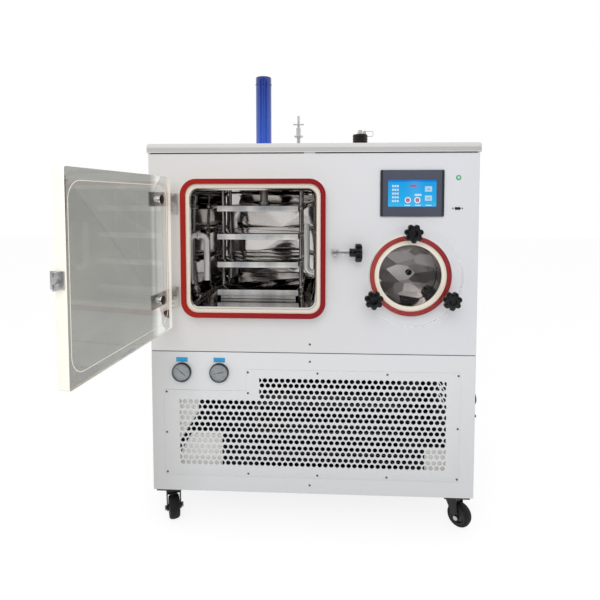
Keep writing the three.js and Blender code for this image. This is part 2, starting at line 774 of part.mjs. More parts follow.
const rodRadius = guideRodDiameter / 2;
const rodBores = rodPlaces.map(([x, y]) => bar('z', rodRadius + runningGap, [0, 400], [x, y], 12));
[3, 2, 1].forEach((step, i) => {
  piece(shelfStack, `shelf_${i + 1}`, cut(shelfPlate(step * shelfPitch), ...rodBores), finish.steel);
});

const rodSpan = [-bottomShelfLift + gap, chamberHeight - bottomShelfLift - gap];
const guideRods = rodPlaces.map(([x, y]) => bar('z', rodRadius, rodSpan, [x, y], 12));
const rodFeet = rodPlaces.map(
  ([x, y]) => bar('z', shelfEarRadius, [rodSpan[0], shelfThickness - 4], [x, y], 12));
piece(shelfStack, 'bottom_shelf_rack', join(shelfPlate(0), ...guideRods, ...rodFeet), finish.steel);

const ram = groupAt(machine, chamberX, shelfMiddleY, 0);
const roofZ = chamberCeilingZ + chamberWall;
const ramBoreTop = roofZ + pressStroke + ramRodGuided;
const ramTop = lidTop + ramRise;
const ramRadius = ramDiameter / 2;

function ramCylinder() {
  const profile = [
    [0, roofZ + gap], [ramFlangeRadius, roofZ + gap], [ramFlangeRadius, roofZ + ramFlangeThickness],
    [ramRadius, roofZ + ramFlangeThickness], [ramRadius, ramTop - 31], [ramRadius + 1.5, ramTop - 30],
    [ramRadius + 1.5, ramTop - 25], [ramRadius, ramTop - 24], [ramRadius, ramTop - 3],
    [ramRadius - 3, ramTop], [0, ramTop],
  ];
  const bore = bar('z', ramRodDiameter / 2 + runningGap, [roofZ - 10, ramBoreTop + 4], [0, 0], 20);
  return turned(profile, 24).subtract(bore);
}

piece(ram, 'ram_cylinder', ramCylinder(), finish.blue);

const topShelfTop = chamberFloorZ + bottomShelfLift + 3 * shelfPitch + shelfThickness;
piece(ram, 'ram_rod', join(
  bar('z', ramRodDiameter / 2, [topShelfTop + gap + 2, ramBoreTop], [0, 0], 20),
  bar('z', ramFootRadius, [topShelfTop + gap, topShelfTop + ramFootHeight], [0, 0], 20),
), finish.polished);

// ---------------------------------------------------------------- oil pipes

const at = (x, y, z) => new THREE.Vector3(x, y, z);
const wallX = chamberWidth / 2;
const hangX = wallX - pipeFromWall;
const pipeRadius = pipeDiameter / 2;

function oilPipe(points, flangeX, flangeZ) {
  const tube = pipe(points, pipeBend, pipeRadius, pipeRadius - pipeWall, 10, 8);
  const side = Math.sign(flangeX);
  const face = flangeX - side * gap;
  const span = [Math.min(face, face - side * 4), Math.max(face, face - side * 4)];
  return join(tube, ring('x', pipeRadius + 6, pipeRadius - 0.5, span, [pipeY, flangeZ], 24));
}

piece(chamber, 'oil_pipe_left', oilPipe([
  at(-wallX - pipeOutside, pipeY, leftPipeZ), at(-hangX, pipeY, leftPipeZ),
  at(-hangX, pipeY, leftPipeEnd),
], -wallX, leftPipeZ), finish.polished);

piece(chamber, 'oil_pipe_right', oilPipe([
  at(hangX, pipeY, rightPipeEnd), at(hangX, pipeY, rightPipeZ),
  at(wallX + pipeOutside, pipeY, rightPipeZ),
], wallX, rightPipeZ), finish.polished);

// ---------------------------------------------------------------- door and hinges

const door = groupAt(machine, hingeX, hingeAxisY, trayZ + doorZ, -doorOpenAngle);
const paneInner = paneInnerY - hingeAxisY; // in the door group, door closed
const paneOuter = paneOuterY - hingeAxisY;
const paneStart = hingeToPane;
const paneEnd = hingeToPane + doorWidth;
const boltX = paneStart + clampBoltX;
const hinges = [['upper', upperHingeRise], ['lower', -lowerHingeDrop]];

piece(door, 'door_pane', cut(
  slabY(
    roundedRectangle(doorWidth, doorHeight, doorCorner, paneStart + doorWidth / 2),
    [paneOuter, paneInner]),
  ...hinges.map(([, z]) => bar('y', clampBoltDiameter / 2 + gap, [-80, 80], [boltX, z])),
), finish.clear);

const pinRadius = hingePinDiameter / 2;

hinges.forEach(([name, z]) => {
  const strapY = [paneOuter - gap - strapThickness, paneOuter - gap];
  const tall = [z - knuckleHeight / 2, z + knuckleHeight / 2];
  // The strap starts beside the knuckle, so that it swings clear of the base's ears.
  const strapX = [knuckleRadius + knuckleToPane, paneStart + strapLength];
  const arm = join(
    block(strapX, strapY, [z - strapHeight / 2, z + strapHeight / 2]),
    bar('z', knuckleRadius, tall, [0, 0], 16),
    block([-knuckleRadius, knuckleRadius], [strapY[0], 0], tall),
    block([0, strapX[0] + 4], strapY, tall),
    bar('y', clampBoltDiameter / 2, [strapY[0] - 4, paneInner + 1], [boltX, z]),
    bar('y', clampBoltDiameter / 2 + 4, [strapY[0] - 10, strapY[0] + 1], [boltX, z], 6),
  );
  const bore = bar('z', pinRadius + runningGap, [z - 50, z + 50], [0, 0], 12);
  piece(door, `hinge_arm_${name}`, arm.subtract(bore), finish.steel);
});

hinges.forEach(([name, z]) => {
  const base = groupAt(machine, hingeX, 0, trayZ + doorZ + z);
  const plateZ = [-hingeBaseDrop - hingeBaseHeight / 2, -hingeBaseDrop + hingeBaseHeight / 2];
  const plateX = [-hingeBaseWidth / 2 - hingeBaseShift, hingeBaseWidth / 2 - hingeBaseShift];
  const plate = block(plateX, [-gap - hingeBasePlate, -gap], plateZ);
  const earStart = knuckleHeight / 2 + gap + 0.2;
  const ears = [[earStart, earStart + earThickness], [-earStart - earThickness, -earStart]].flatMap(
    (span) => [
      block([-knuckleRadius, knuckleRadius], [hingeAxisY, -gap - 1], span),
      bar('z', knuckleRadius, span, [0, hingeAxisY], 14),
    ]);
  const pin = bar(
    'z', pinRadius, [-earStart - earThickness - 2, earStart + earThickness + 2], [0, hingeAxisY], 12);
  piece(base, `hinge_base_${name}`, join(plate, ...ears, pin), finish.steel);
});

// Strike: an angle plate on the free edge, its outer leg forked for the swing bolt.
function doorStrike() {
  const y0 = paneOuter - strikeProud;
  const plateX = [paneEnd + gap, paneEnd + gap + strikePlate];
  const tall = [-strikeHeight / 2, strikeHeight / 2];
  const plate = block(plateX, [y0, y0 + strikePlateDepth], tall);
  const forkX = [plateX[1] - 1, plateX[1] + strikeFork];
  const fork = block(forkX, [y0 + strikeDepth - strikeForkThickness, y0 + strikeDepth], tall);
  const slotHalf = latchRodDiameter / 2 + 1.5;
  const slot = block([plateX[1], forkX[1] + 1], [y0, y0 + strikeDepth + 1], [-slotHalf, slotHalf]);
  return join(plate, fork).subtract(slot);
}

piece(door, 'door_strike', doorStrike(), finish.steel);

// ---------------------------------------------------------------- swing bolt latch

// Star knob turned about X: a round hub, then the star, with a blind bore for the bolt.
function starKnob(hubLength, boreRadius, boreDepth) {
  const outline = [];
  const steps = starLobes * 4;
  for (let i = 0; i < steps; i += 1) {
    const turn = (2 * Math.PI * i) / steps;
    const radius = starRadius - 4.5 + 4.5 * Math.cos(starLobes * turn);
    outline.push([(radius - 1.5) * Math.cos(turn), (radius - 1.5) * Math.sin(turn)]);
  }
  const star = new THREE.ExtrudeGeometry(polygon(outline), {
    depth: starThickness - 5,
    bevelEnabled: true,
    bevelThickness: 2.5,
    bevelSize: 1.5,
    bevelSegments: 1,
  });
  star.translate(0, 0, hubLength + 2.5);
  const hub = bar('z', starHubRadius, [0, hubLength + 3], [0, 0], 16);
  const bore = bar('z', boreRadius, [-1, boreDepth]);
  return join(hub, solid(star)).subtract(bore).rotate([0, 90, 0]);
}

const latchZ = trayZ + doorZ;
const latch = groupAt(machine, latchX, latchPinY, latchZ);
const eyeRadius = 7.5;
const latchPinRadius = 3.5;
const latchPinBehindPane = 2; // where the clevis widens, behind the closed pane's inner face

// Clevis: a block on the panel, slotted for the bolt's eye, its ears rounded about the pin.
function latchClevis() {
  const earRadius = eyeRadius + 0.5;
  const half = clevisWidth / 2;
  const tall = [-clevisHeight / 2, clevisHeight / 2];
  const body = join(
    block([-half, half], [latchPinBehindPane, -latchPinY - gap], tall),
    block([-earRadius, earRadius], [0, latchPinBehindPane + 1], tall),
    bar('z', earRadius, tall, [0, 0], 18),
  );
  const slot = block(
    [-half - 1, half + 1], [-earRadius - 1, eyeRadius + 7], [-clevisSlot / 2, clevisSlot / 2]);
  const pin = bar('z', latchPinRadius, [tall[0] - 1, tall[1] + 1]);
  return join(body.subtract(slot), pin);
}

piece(latch, 'latch_clevis', latchClevis(), finish.steel);

const swing = groupAt(latch, 0, 0, 0);
const rodHalf = latchRodDiameter / 2;
piece(swing, 'swing_bolt', join(
  bar('z', eyeRadius, [-rodHalf, rodHalf], [0, 0], 18),
  bar('x', rodHalf, [eyeRadius - 2, latchRodLength]),
).subtract(bar('z', latchPinRadius + runningGap, [-20, 20])), finish.steel);

const latchKnob = starKnob(latchHubLength, rodHalf + runningGap, latchRodLength - latchHubStart + 1);
piece(groupAt(swing, latchHubStart, 0, 0), 'latch_knob', latchKnob, finish.black);

// ---------------------------------------------------------------- cold trap

const trap = groupAt(machine, trapX, 0, trayZ + trapZ);
const trapFace = -(trapCollarProud + trapGasketThickness);
const windowBack = trapFace - gap;
const windowFront = windowBack - windowThickness;
const collarRebate = -trapCollarProud + 6;
const studEngaged = 11; // bore in the knob's star, past its hub
const studFront = windowFront - trapHubLength - studEngaged + 1;

const trapSides = 32;

function trapVessel() {
  const backY = trapDepth + trapWall;
  const pot = bar('y', vesselRadius, [collarRebate + gap, backY], [0, 0], trapSides);
  const inside = bar('y', trapRadius, [collarRebate - 5, trapDepth], [0, 0], trapSides);
  const earY = [sheet + gap, sheet + gap + studEarThickness];
  const studs = studPlaces.map(
    ([x, z]) => bar('y', studDiameter / 2, [studFront, earY[1]], [x, z], 16));
  const ears = studPlaces.map(([x, z]) => {
    const ear = block([trapRadius + 2, studEarReach], earY, [-studEarWidth / 2, studEarWidth / 2]);
    return ear.rotate([0, -THREE.MathUtils.radToDeg(Math.atan2(z, x)), 0]);
  });
  const nozzle = bar('y', ductRadius, [backY - 1, backY + nozzleLength], [0, 0], 20);
  const port = bar('y', ductRadius - ductWall, [trapDepth - 10, backY + nozzleLength + 10], [0, 0], 20);
  const footX = [-trapFootWidth / 2, trapFootWidth / 2];
  const foot = block(footX, trapFootYs, [-trapRise + gap, -vesselRadius + 12]);
  return cut(join(pot, ...ears, ...studs, nozzle, foot), inside, port);
}

piece(trap, 'trap_vessel', trapVessel(), finish.polished);

piece(trap, 'trap_collar', turnedY([
  [trapRadius, -trapCollarProud], [trapSealRadius, -trapCollarProud], [trapSealRadius, -gap],
  [vesselRadius + gap, -gap], [vesselRadius + gap, collarRebate], [trapRadius, collarRebate],
  [trapRadius, -trapCollarProud],
], trapSides), finish.cream);

const trapInner = trapSealRadius - trapGasketBand;
piece(trap, 'trap_gasket', turnedY([
  [trapInner, trapFace + 2], [trapInner + 3, trapFace], [trapSealRadius - 3, trapFace],
  [trapSealRadius, trapFace + 2], [trapSealRadius, -trapCollarProud - gap],
  [trapInner, -trapCollarProud - gap], [trapInner, trapFace + 2],
], trapSides), finish.silicone);

piece(trap, 'trap_window', cut(
  bar('y', windowRadius, [windowFront, windowBack], [0, 0], 36),
  ...studPlaces.map(([x, z]) => bar('y', studDiameter / 2 + runningGap, [-100, 0], [x, z])),
), finish.clear);

const baffleRadius = (trapRadius - gap) * Math.cos(Math.PI / trapSides);
const baffle = bar('y', baffleRadius, [baffleY, baffleY + 3], [0, 0], trapSides);
const baffleHole = bar('y', baffleHoleRadius, [0, 100], [baffleHoleX, 0]);
piece(trap, 'trap_baffle', baffle.subtract(baffleHole), finish.polished);

['top', 'left', 'right'].forEach((name, i) => {
  const [x, z] = studPlaces[i];
  const spin = groupAt(trap, x, windowFront - gap, z);
  const knob = starKnob(trapHubLength, studDiameter / 2 + runningGap, trapHubLength + studEngaged);
  piece(spin, `trap_knob_${name}`, knob.rotate([0, 0, -90]), finish.black);
});

// Duct from the back of the chamber to the back of the trap, sleeved over both nozzles.
const ductSleeve = 12;
piece(machine, 'vapour_duct', pipe([
  at(chamberX + vapourPortX, chamberDepth + chamberWall + ductSleeve, trayZ + chamberZ + vapourPortZ),
  at(chamberX + vapourPortX, ductY, trayZ + chamberZ + vapourPortZ),
  at(trapX, ductY, trayZ + trapZ),
  at(trapX, trapDepth + trapWall + ductSleeve, trayZ + trapZ),
], 70, ductRadius + 2 + ductWall, ductRadius + 2, 14, 12), finish.steel);

// ---------------------------------------------------------------- front fittings

function touchPanel() {
  const half = [touchPanelWidth / 2, touchPanelHeight / 2];
  const face = -gap - touchPanelProud;
  return cut(
    join(
      slabY(roundedRectangle(touchPanelWidth, touchPanelHeight, 6), [face, -gap], 3),
      block([10 - half[0], half[0] - 10], [-gap - 1, 38], [10 - half[1], half[1] - 10]),
    ),
    block([-screenWidth / 2, screenWidth / 2], [face - 1, face + 1], [-screenHeight / 2, screenHeight / 2]),
  );
}

piece(groupAt(machine, touchPanelX, 0, trayZ + touchPanelZ), 'touch_panel', touchPanel(), finish.bezel);

const dialFace = -gaugeProud + 5;
['left', 'right'].forEach((name, i) => {
  const gauge = groupAt(machine, gaugeXs[i], 0, trayZ + gaugeZ);
  const body = turnedY([
    [0, dialFace], [dialRadius, dialFace], [dialRadius, -gaugeProud], [gaugeRadius - 1, -gaugeProud],
    [gaugeRadius, -gaugeProud + 1.5], [gaugeRadius, -gap], [gaugeBodyRadius, -gap], [gaugeBodyRadius, 24],
    [7, 24], [7, 40], [0, 40],
  ], 24);
  const spindle = bar('y', 1.2, [dialFace - 2.6, dialFace + 1], [0, 0], 8);
  piece(gauge, `gauge_${name}`, join(body, spindle), finish.black);
  const needle = groupAt(gauge, 0, dialFace - 0.6, 0);
  needle.rotation.y = THREE.MathUtils.degToRad(needleTurns[i]);
  const pointer = join(
    bar('y', 3.2, [-1.4, 0], [0, 0], 12),
    block([-0.9, 0.9], [-1.2, -0.2], [-8, 21]),
  ).subtract(bar('y', 1.2 + gap, [-5, 5], [0, 0], 8));
  piece(needle, `gauge_needle_${name}`, pointer, finish.black);
});

// ---------------------------------------------------------------- cooling plant

const trayTop = trayZ + deckThickness;
const condenser = groupAt(machine, condenserX, condenserY, trayTop + condenserLift);
const fanZ = condenserHeight / 2;
const shroudBack = condenserThickness + 45;
const shroudGap = 5;

function condenserBlock() {
  const half = condenserWidth / 2;
  const finned = block([-half, half], [0, condenserThickness], [0, condenserHeight]);
  const shroudSpan = [condenserThickness - 1, shroudBack];
  const shroud = ring('y', fanRadius + shroudGap + 5, fanRadius + shroudGap, shroudSpan, [0, fanZ], 30);
  const feet = [-1, 1].map((side) => {
    const x = side * (half - 20);
    return block([x - 18, x + 18], [0, condenserThickness], [gap - condenserLift, 1]);
  });
  return join(finned, shroud, ...feet);
}

piece(condenser, 'condenser', condenserBlock(), finish.steel);

const fanHubHalf = 20;
const fanShaftRadius = 6;
const fanStrap = 4;

function condenserFan() {
  const blades = [];
  for (let i = 0; i < fanBlades; i += 1) {
    const blade = new THREE.BoxGeometry(fanRadius - 26, 2.5, 70);
    blade.rotateX(THREE.MathUtils.degToRad(28));
    blade.translate((fanRadius + 26) / 2 - 4, 0, 0);
    blade.rotateY((2 * Math.PI * i) / fanBlades);
    blades.push(solid(blade));
  }
  return join(bar('y', 30, [-fanHubHalf, fanHubHalf], [0, 0], 18), ...blades).subtract(
    bar('y', fanShaftRadius + runningGap, [-12, 30]));
}

const fanY = condenserThickness + 32;
piece(groupAt(condenser, 0, fanY, fanZ), 'condenser_fan', condenserFan(), finish.black);

function fanMotor() {
  const front = fanY + fanHubHalf + 4;
  const motor = bar('y', 42, [front, front + 80], [0, fanZ], 20);
  const shaft = bar('y', fanShaftRadius, [fanY - 8, front + 1], [0, fanZ]);
  // A strap across the back of the fan, bent forward at both ends to the condenser.
  const reach = fanRadius + 25;
  const strapZ = [fanZ - 12, fanZ + 12];
  const strapY = [front + 30, front + 30 + fanStrap];
  const strap = block([-reach, reach], strapY, strapZ);
  const ends = [[-reach, fanStrap - reach], [reach - fanStrap, reach]].map(
    (across) => block(across, [condenserThickness + gap, strapY[1]], strapZ));
  return join(motor, shaft, strap, ...ends);
}

piece(condenser, 'fan_motor', fanMotor(), finish.black);

// Hermetic can on a square plate with four rubber feet.
function compressor() {
  const footHeight = 26;
  const plateTop = footHeight + 6;
  const body = turned([
    [0, plateTop - 2], [compressorRadius - 20, plateTop - 2], [compressorRadius, plateTop + 18],
    [compressorRadius, compressorHeight - 50], [compressorRadius - 14, compressorHeight - 18],
    [compressorRadius - 50, compressorHeight], [0, compressorHeight],
  ], 20);
  const footAt = compressorRadius - 30;
  const feet = [-1, 1].flatMap((x) => [-1, 1].map(
    (y) => bar('z', 14, [gap, footHeight + 1], [x * footAt, y * footAt], 8)));
  const side = [-footAt - 14, footAt + 14];
  return join(body, block(side, side, [footHeight, plateTop]), ...feet);
}

piece(groupAt(machine, compressorX, compressorY, trayTop), 'compressor', compressor(), finish.black);

// Oil pump: a pump head on a base plate, with its motor behind it on a foot.
function circulationPump() {
  const head = { x: 50, y: 40, z: 112 };
  const motorRadius = 40;
  const motorBack = 170;
  const motorZ = 66;
  return join(
    block([-head.x - 8, head.x + 8], [-head.y - 5, head.y + 5], [gap, 18]),
    block([-head.x, head.x], [-head.y, head.y], [17, head.z]),
    bar('y', motorRadius, [head.y - 1, motorBack], [0, motorZ], 20),
    block([-30, 30], [60, motorBack - 20], [gap, motorZ - 26]),
  );
}

piece(groupAt(machine, pumpX, pumpY, trayTop), 'circulation_pump', circulationPump(), finish.paint);

// ---------------------------------------------------------------- fittings on the lid

// Vent valve: a stem through the lid, a collar, and a bonnet under a cross handle.
const ventValve = groupAt(machine, ventValveX, lidFittingY, lidTop);
const bonnetZ = ventValveHeight - 30;
piece(ventValve, 'vent_valve', turned([
  [0, -30], [ventStemRadius, -30], [ventStemRadius, gap], [15, gap], [15, 6], [7, 8], [7, bonnetZ - 8],
  [17, bonnetZ - 7], [17, bonnetZ - 2], [9, bonnetZ], [9, ventValveHeight - 4], [5, ventValveHeight],
  [0, ventValveHeight],
], 16), finish.steel);
const crossArm = 20;
const handle = join(
  bar('z', 5, [0, 42], [0, 0], 12),
  bar('x', 3, [-crossArm, crossArm], [0, 10], 8),
  bar('y', 3, [-crossArm, crossArm], [0, 10], 8),
);
piece(groupAt(ventValve, 0, 0, ventValveHeight + gap), 'vent_valve_handle', handle, finish.steel);

// Vacuum port: a stub through the lid, a hose clamp's barrel and its screw block.
const port = vacuumPortRadius;
piece(groupAt(machine, vacuumPortX, lidFittingY, lidTop), 'vacuum_port', join(
  turned([
    [0, -40], [portStubRadius, -40], [portStubRadius, gap], [port + 4, gap], [port + 4, 6],
    [port - 3, 8], [port - 3, 20], [port, 22], [port, vacuumPortHeight - 4],
    [port - 4, vacuumPortHeight], [12, vacuumPortHeight], [12, vacuumPortHeight + 14],
    [0, vacuumPortHeight + 14],
  ], 20),
  block([port - 4, port + 14], [-6, 6], [40, 54]),
), finish.black);

// ---------------------------------------------------------------- origin

const box = new THREE.Box3().setFromObject(machine, true);
machine.position.set(-(box.min.x + box.max.x) / 2, -(box.min.y + box.max.y) / 2, -box.min.z);

export default machine;
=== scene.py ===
"""Floor-standing freeze dryer: drying chamber with a clear door, cold trap, plant bay below."""
import json
from math import cos, pi, radians, sin

import bmesh
import bpy
from mathutils import Matrix, Vector


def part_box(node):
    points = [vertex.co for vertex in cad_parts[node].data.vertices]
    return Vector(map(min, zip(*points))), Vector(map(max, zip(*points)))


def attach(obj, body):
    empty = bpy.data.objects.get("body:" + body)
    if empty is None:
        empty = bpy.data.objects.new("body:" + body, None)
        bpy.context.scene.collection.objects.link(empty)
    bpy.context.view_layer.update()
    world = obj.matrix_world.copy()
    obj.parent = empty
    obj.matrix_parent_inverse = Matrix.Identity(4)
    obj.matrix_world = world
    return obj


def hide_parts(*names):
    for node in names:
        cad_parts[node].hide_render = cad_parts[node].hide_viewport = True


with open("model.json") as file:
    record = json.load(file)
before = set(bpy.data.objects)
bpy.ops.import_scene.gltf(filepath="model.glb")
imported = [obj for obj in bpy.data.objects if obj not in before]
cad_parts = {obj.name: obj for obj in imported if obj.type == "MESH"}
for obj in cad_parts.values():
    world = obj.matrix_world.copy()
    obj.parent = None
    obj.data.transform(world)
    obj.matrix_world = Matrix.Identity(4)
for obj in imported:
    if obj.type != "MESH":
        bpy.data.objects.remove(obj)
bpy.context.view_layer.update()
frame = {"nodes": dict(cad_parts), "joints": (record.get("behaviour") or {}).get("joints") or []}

# ---------------------------------------------------------------- camera
# A camera at chest height in front of the machine, turned slightly to the left and down.
# Its lens takes in the whole machine with the door swung open.

camera_place = Vector((0.0372, -1.602, 1.1115))
camera_yaw = radians(2.758)
camera_pitch = radians(-3.04)


def in_scene(name, data):
    """A new object in the scene."""
    made = bpy.data.objects.new(name, data)
    bpy.context.scene.collection.objects.link(made)
    return made


lens = bpy.data.cameras.new("camera")
lens.lens = 28.2
lens.shift_y = -0.1278
camera = in_scene("camera", lens)
turn = Matrix.Rotation(camera_yaw, 4, "Z") @ Matrix.Rotation(pi / 2 + camera_pitch, 4, "X")
camera.matrix_world = Matrix.Translation(camera_place) @ turn
bpy.context.scene.camera = camera

# ---------------------------------------------------------------- studio
# A white studio: even light from all round, one large soft lamp above the front, and a pale
# floor. Dark screens behind the camera give the polished steel something to reflect.


class Wire:
    """A node's output in an expression: each operator adds the Math node it stands for."""

    def __init__(self, tree, socket):
        self.tree = tree
        self.socket = socket

    def other(self, output):
        return Wire(self.tree, self.socket.node.outputs[output])

    def math(self, operation, *values):
        return self.tree.add("ShaderNodeMath", dict(enumerate(values)), operation=operation)

    def __add__(self, other):
        return self.math("ADD", self, other)

    def __sub__(self, other):
        return self.math("SUBTRACT", self, other)

    def __rsub__(self, other):
        return self.math("SUBTRACT", other, self)

    def __mul__(self, other):
        return self.math("MULTIPLY", self, other)

    def __truediv__(self, other):
        return self.math("DIVIDE", self, other)

    def __mod__(self, other):
        return self.math("FLOORED_MODULO", self, other)

    def __gt__(self, other):
        return self.math("GREATER_THAN", self, other)

    def __lt__(self, other):
        return self.math("LESS_THAN", self, other)

    def __abs__(self):
        return self.math("ABSOLUTE", self)

    __radd__ = __add__
    __rmul__ = __mul__


class Tree:
    """A node tree that grows by one call for each node, named without its family."""

    family = "ShaderNode"

    def __init__(self, node_tree):
        self.nodes = node_tree.nodes
        self.links = node_tree.links

    def put(self, socket, value):
        if isinstance(value, Wire):
            self.links.new(value.socket, socket)
        else:
            socket.default_value = value

    def add(self, kind, values=None, out=0, stops=(), **settings):
        node = self.nodes.new(kind if "Node" in kind else self.family + kind)
        for name, setting in settings.items():
            setattr(node, name, setting)
        for i, (position, tone) in enumerate(stops):
            band = node.color_ramp.elements
            stop = band[i] if i < len(band) else band.new(position)
            stop.position = position
            stop.color = tone
        for key, value in (values or {}).items():
            self.put(node.inputs[key], value)
        return Wire(self, node.outputs[out])

    def mix(self, factor, first, second):
        return self.add("Mix", {0: factor, 6: first, 7: second}, out=2, data_type="RGBA")


def colour(code, light=1.0):
    """A written sRGB colour as linear light, made lighter or darker by a factor."""
    parts = [int(code[i:i + 2], 16) / 255 for i in (0, 2, 4)]
    linear = [p / 12.92 if p <= 0.04045 else ((p + 0.055) / 1.055) ** 2.4 for p in parts]
    return (*(min(1.0, p * light) for p in linear), 1.0)


def sight(tree):
    """1 for rays from the camera, straight or by way of a mirror or a clear piece; otherwise 0."""
    rays = tree.add("LightPath")
    seen = rays.math("MAXIMUM", rays, rays.other("Is Glossy Ray"))
    return seen.math("MAXIMUM", seen, rays.other("Is Transmission Ray"))


bpy.context.scene.view_settings.view_transform = "Standard"
room_light = 0.62
world = bpy.data.worlds.new("studio")
world.use_nodes = True
bpy.context.scene.world = world
room = Tree(world.node_tree)
background = world.node_tree.nodes["Background"]
background.inputs["Color"].default_value = (1, 1, 1, 1)
room.put(background.inputs["Strength"], room_light + (1 - room_light) * sight(room))

lamp = bpy.data.lights.new("front_lamp", "AREA")
lamp.size = 2.4
lamp.energy = 46
front_lamp = in_scene("front_lamp", lamp)
front_lamp.matrix_world = Matrix.Translation((-0.2, -2.9, 2.6)) @ Matrix.Rotation(radians(58), 4, "X")
front_lamp.visible_glossy = False


def sheet_at(name, corners):
    mesh = bpy.data.meshes.new(name)
    mesh.from_pydata(corners, [], [tuple(range(len(corners)))])
    made = in_scene(name, mesh)
    return made


class Finish(Tree):
    """A material on one Principled shader, with its node tree."""

    def __init__(self, name, base, roughness, metallic=0.0, **fixed):
        self.material = bpy.data.materials.new(name)
        self.material.use_nodes = True
        super().__init__(self.material.node_tree)
        self.shader = self.material.node_tree.nodes["Principled BSDF"]
        self.place = self.add("TexCoord", out="Object")
        self.wear(Base_Color=base, Roughness=roughness, Metallic=metallic, **fixed)

    def wear(self, **values):
        for name, value in values.items():
            self.put(self.shader.inputs[name.replace("_", " ")], value)

    def along(self, axis):
        """How far a point lies along X, Y or Z."""
        return self.add("SeparateXYZ", {0: self.place}, out=axis)

    def blend(self, factor, first, second):
        """Gives the base colour a mix of two written colours."""
        self.wear(Base_Color=self.mix(factor, colour(first), colour(second)))

    def noise(self, scale, detail=2.0, stretch=(1, 1, 1)):
        at = self.place
        if stretch != (1, 1, 1):
            at = self.add("VectorMath", {0: self.place, 1: stretch}, operation="MULTIPLY")
        return self.add("TexNoise", {"Vector": at, "Scale": scale, "Detail": detail})

    def bumps(self, height, depth):
        self.wear(Normal=self.add("Bump", {"Height": height, "Distance": depth, "Strength": 1.0}))


floor = sheet_at("floor", [(-12, -12, 0), (12, -12, 0), (12, 12, 0), (-12, 12, 0)])
ground = Finish("studio_floor", (1, 1, 1, 1), 1.0)
matt = ground.add("BsdfDiffuse", {"Color": (0.86, 0.86, 0.86, 1)})
glow = ground.add("Emission", {"Color": (1, 1, 1, 1), "Strength": 1.16})
shown = ground.add("MixShader", {0: 0.72 * sight(ground), 1: matt, 2: glow})
ground.put(ground.nodes["Material Output"].inputs["Surface"], shown)
ground.nodes.remove(ground.shader)
floor.data.materials.append(ground.material)

cloth = Finish("dark_screen", (0.012, 0.011, 0.012, 1), 1.0)
screen_y, screen_low, screen_high = -2.6, 0.2, 3.4
for name, left, right in (("left", -3.6, -1.12), ("middle", -0.56, 0.70), ("right", 1.25, 4.2)):
    screen = sheet_at(f"screen_{name}", [
        (left, screen_y, screen_low), (right, screen_y, screen_low),
        (right, screen_y, screen_high), (left, screen_y, screen_high)])
    screen.data.materials.append(cloth.material)
    screen.visible_camera = False
    screen.visible_diffuse = False
    screen.visible_transmission = False
    screen.visible_shadow = False

# ---------------------------------------------------------------- base frame
# Welded frame of steel angle on a floor tray, with a deck at the middle that carries the
# chamber and the trap. Painted dark grey before assembly; the casing is screwed to it.


def painted(name, code, roughness=0.42, peel=0.00003, drift=0.03, **fixed):
    """Baked paint: an orange peel, a faint drift in its colour and an uneven gloss."""
    made = Finish(name, colour(code), roughness, **fixed)
    patches = made.noise(2.6, 3)
    made.wear(Base_Color=made.mix(patches, colour(code, 1 - drift), colour(code, 1 + drift)),
              Roughness=roughness + 0.12 * (made.noise(35, 4) - 0.5))
    made.bumps(made.noise(650, 3), peel)
    return made


frame_paint = painted("frame_paint", "5A5C60", 0.55)


def dress(node, made):
    """Gives a CAD node that stays a finish of its own."""
    piece = frame["nodes"][node]
    piece.data.materials.clear()
    piece.data.materials.append(made.material)


dress("base_frame", frame_paint)

# ---------------------------------------------------------------- casters
# Swivel casters at the front and fixed ones at the rear: pressed forks in black paint under
# flat plates, hard rubber wheels with a moulded hub, turning on a bolt with a nut.


class Box:
    """Where a CAD node is at rest: its corners, middle and size, in metres."""

    def __init__(self, node):
        self.low, self.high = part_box(node)
        self.middle = (self.low + self.high) / 2
        self.size = self.high - self.low


def loft(rings, closed=False):
    """A closed skin through rings of points; capped at both ends, or joined end to end."""
    skin = bmesh.new()
    loops = [[skin.verts.new(point) for point in ring] for ring in rings]
    count = len(loops[0])
    pairs = list(zip(loops, loops[1:]))
    if closed:
        pairs.append((loops[-1], loops[0]))
    for first, second in pairs:
        for i in range(count):
            j = (i + 1) % count
            skin.faces.new((first[i], first[j], second[j], second[i]))
    if not closed:
        skin.faces.new(loops[0][::-1])
        skin.faces.new(loops[-1])
    bmesh.ops.remove_doubles(skin, verts=skin.verts, dist=1e-6)
    bmesh.ops.dissolve_degenerate(skin, edges=skin.edges, dist=1e-7)
    bmesh.ops.recalc_face_normals(skin, faces=skin.faces)
    return skin


def set_up(point, level, axis, at):
    """A drawn point at a level along an axis, about the place at."""
    a, b = point
    spread = {"x": (level, a, b), "y": (a, level, b), "z": (a, b, level)}[axis]
    return Vector(spread) + Vector(at)


def stack(outline, profile, axis, at=(0, 0, 0), closed=False):
    """A skin over one outline drawn at several insets and levels along an axis."""
    return loft([[set_up(p, level, axis, at) for p in outline(inset)] for inset, level in profile], closed)


def circle(radius, steps=64):
    def outline(inset=0.0):
        reach = radius - inset
        return [(reach * cos(2 * pi * i / steps), reach * sin(2 * pi * i / steps)) for i in range(steps)]
    return outline


def rounded_rectangle(width, height, radius, steps=10):
    def outline(inset=0.0):
        round_off = max(radius - inset, 1e-4)
        points = []
        for corner, (x, y) in enumerate(((1, 1), (-1, 1), (-1, -1), (1, -1))):
            middle = (x * (width / 2 - inset - round_off), y * (height / 2 - inset - round_off))
            for i in range(steps + 1):
                angle = pi / 2 * (corner + i / steps)
                points.append((middle[0] + round_off * cos(angle), middle[1] + round_off * sin(angle)))
        return points
    return outline


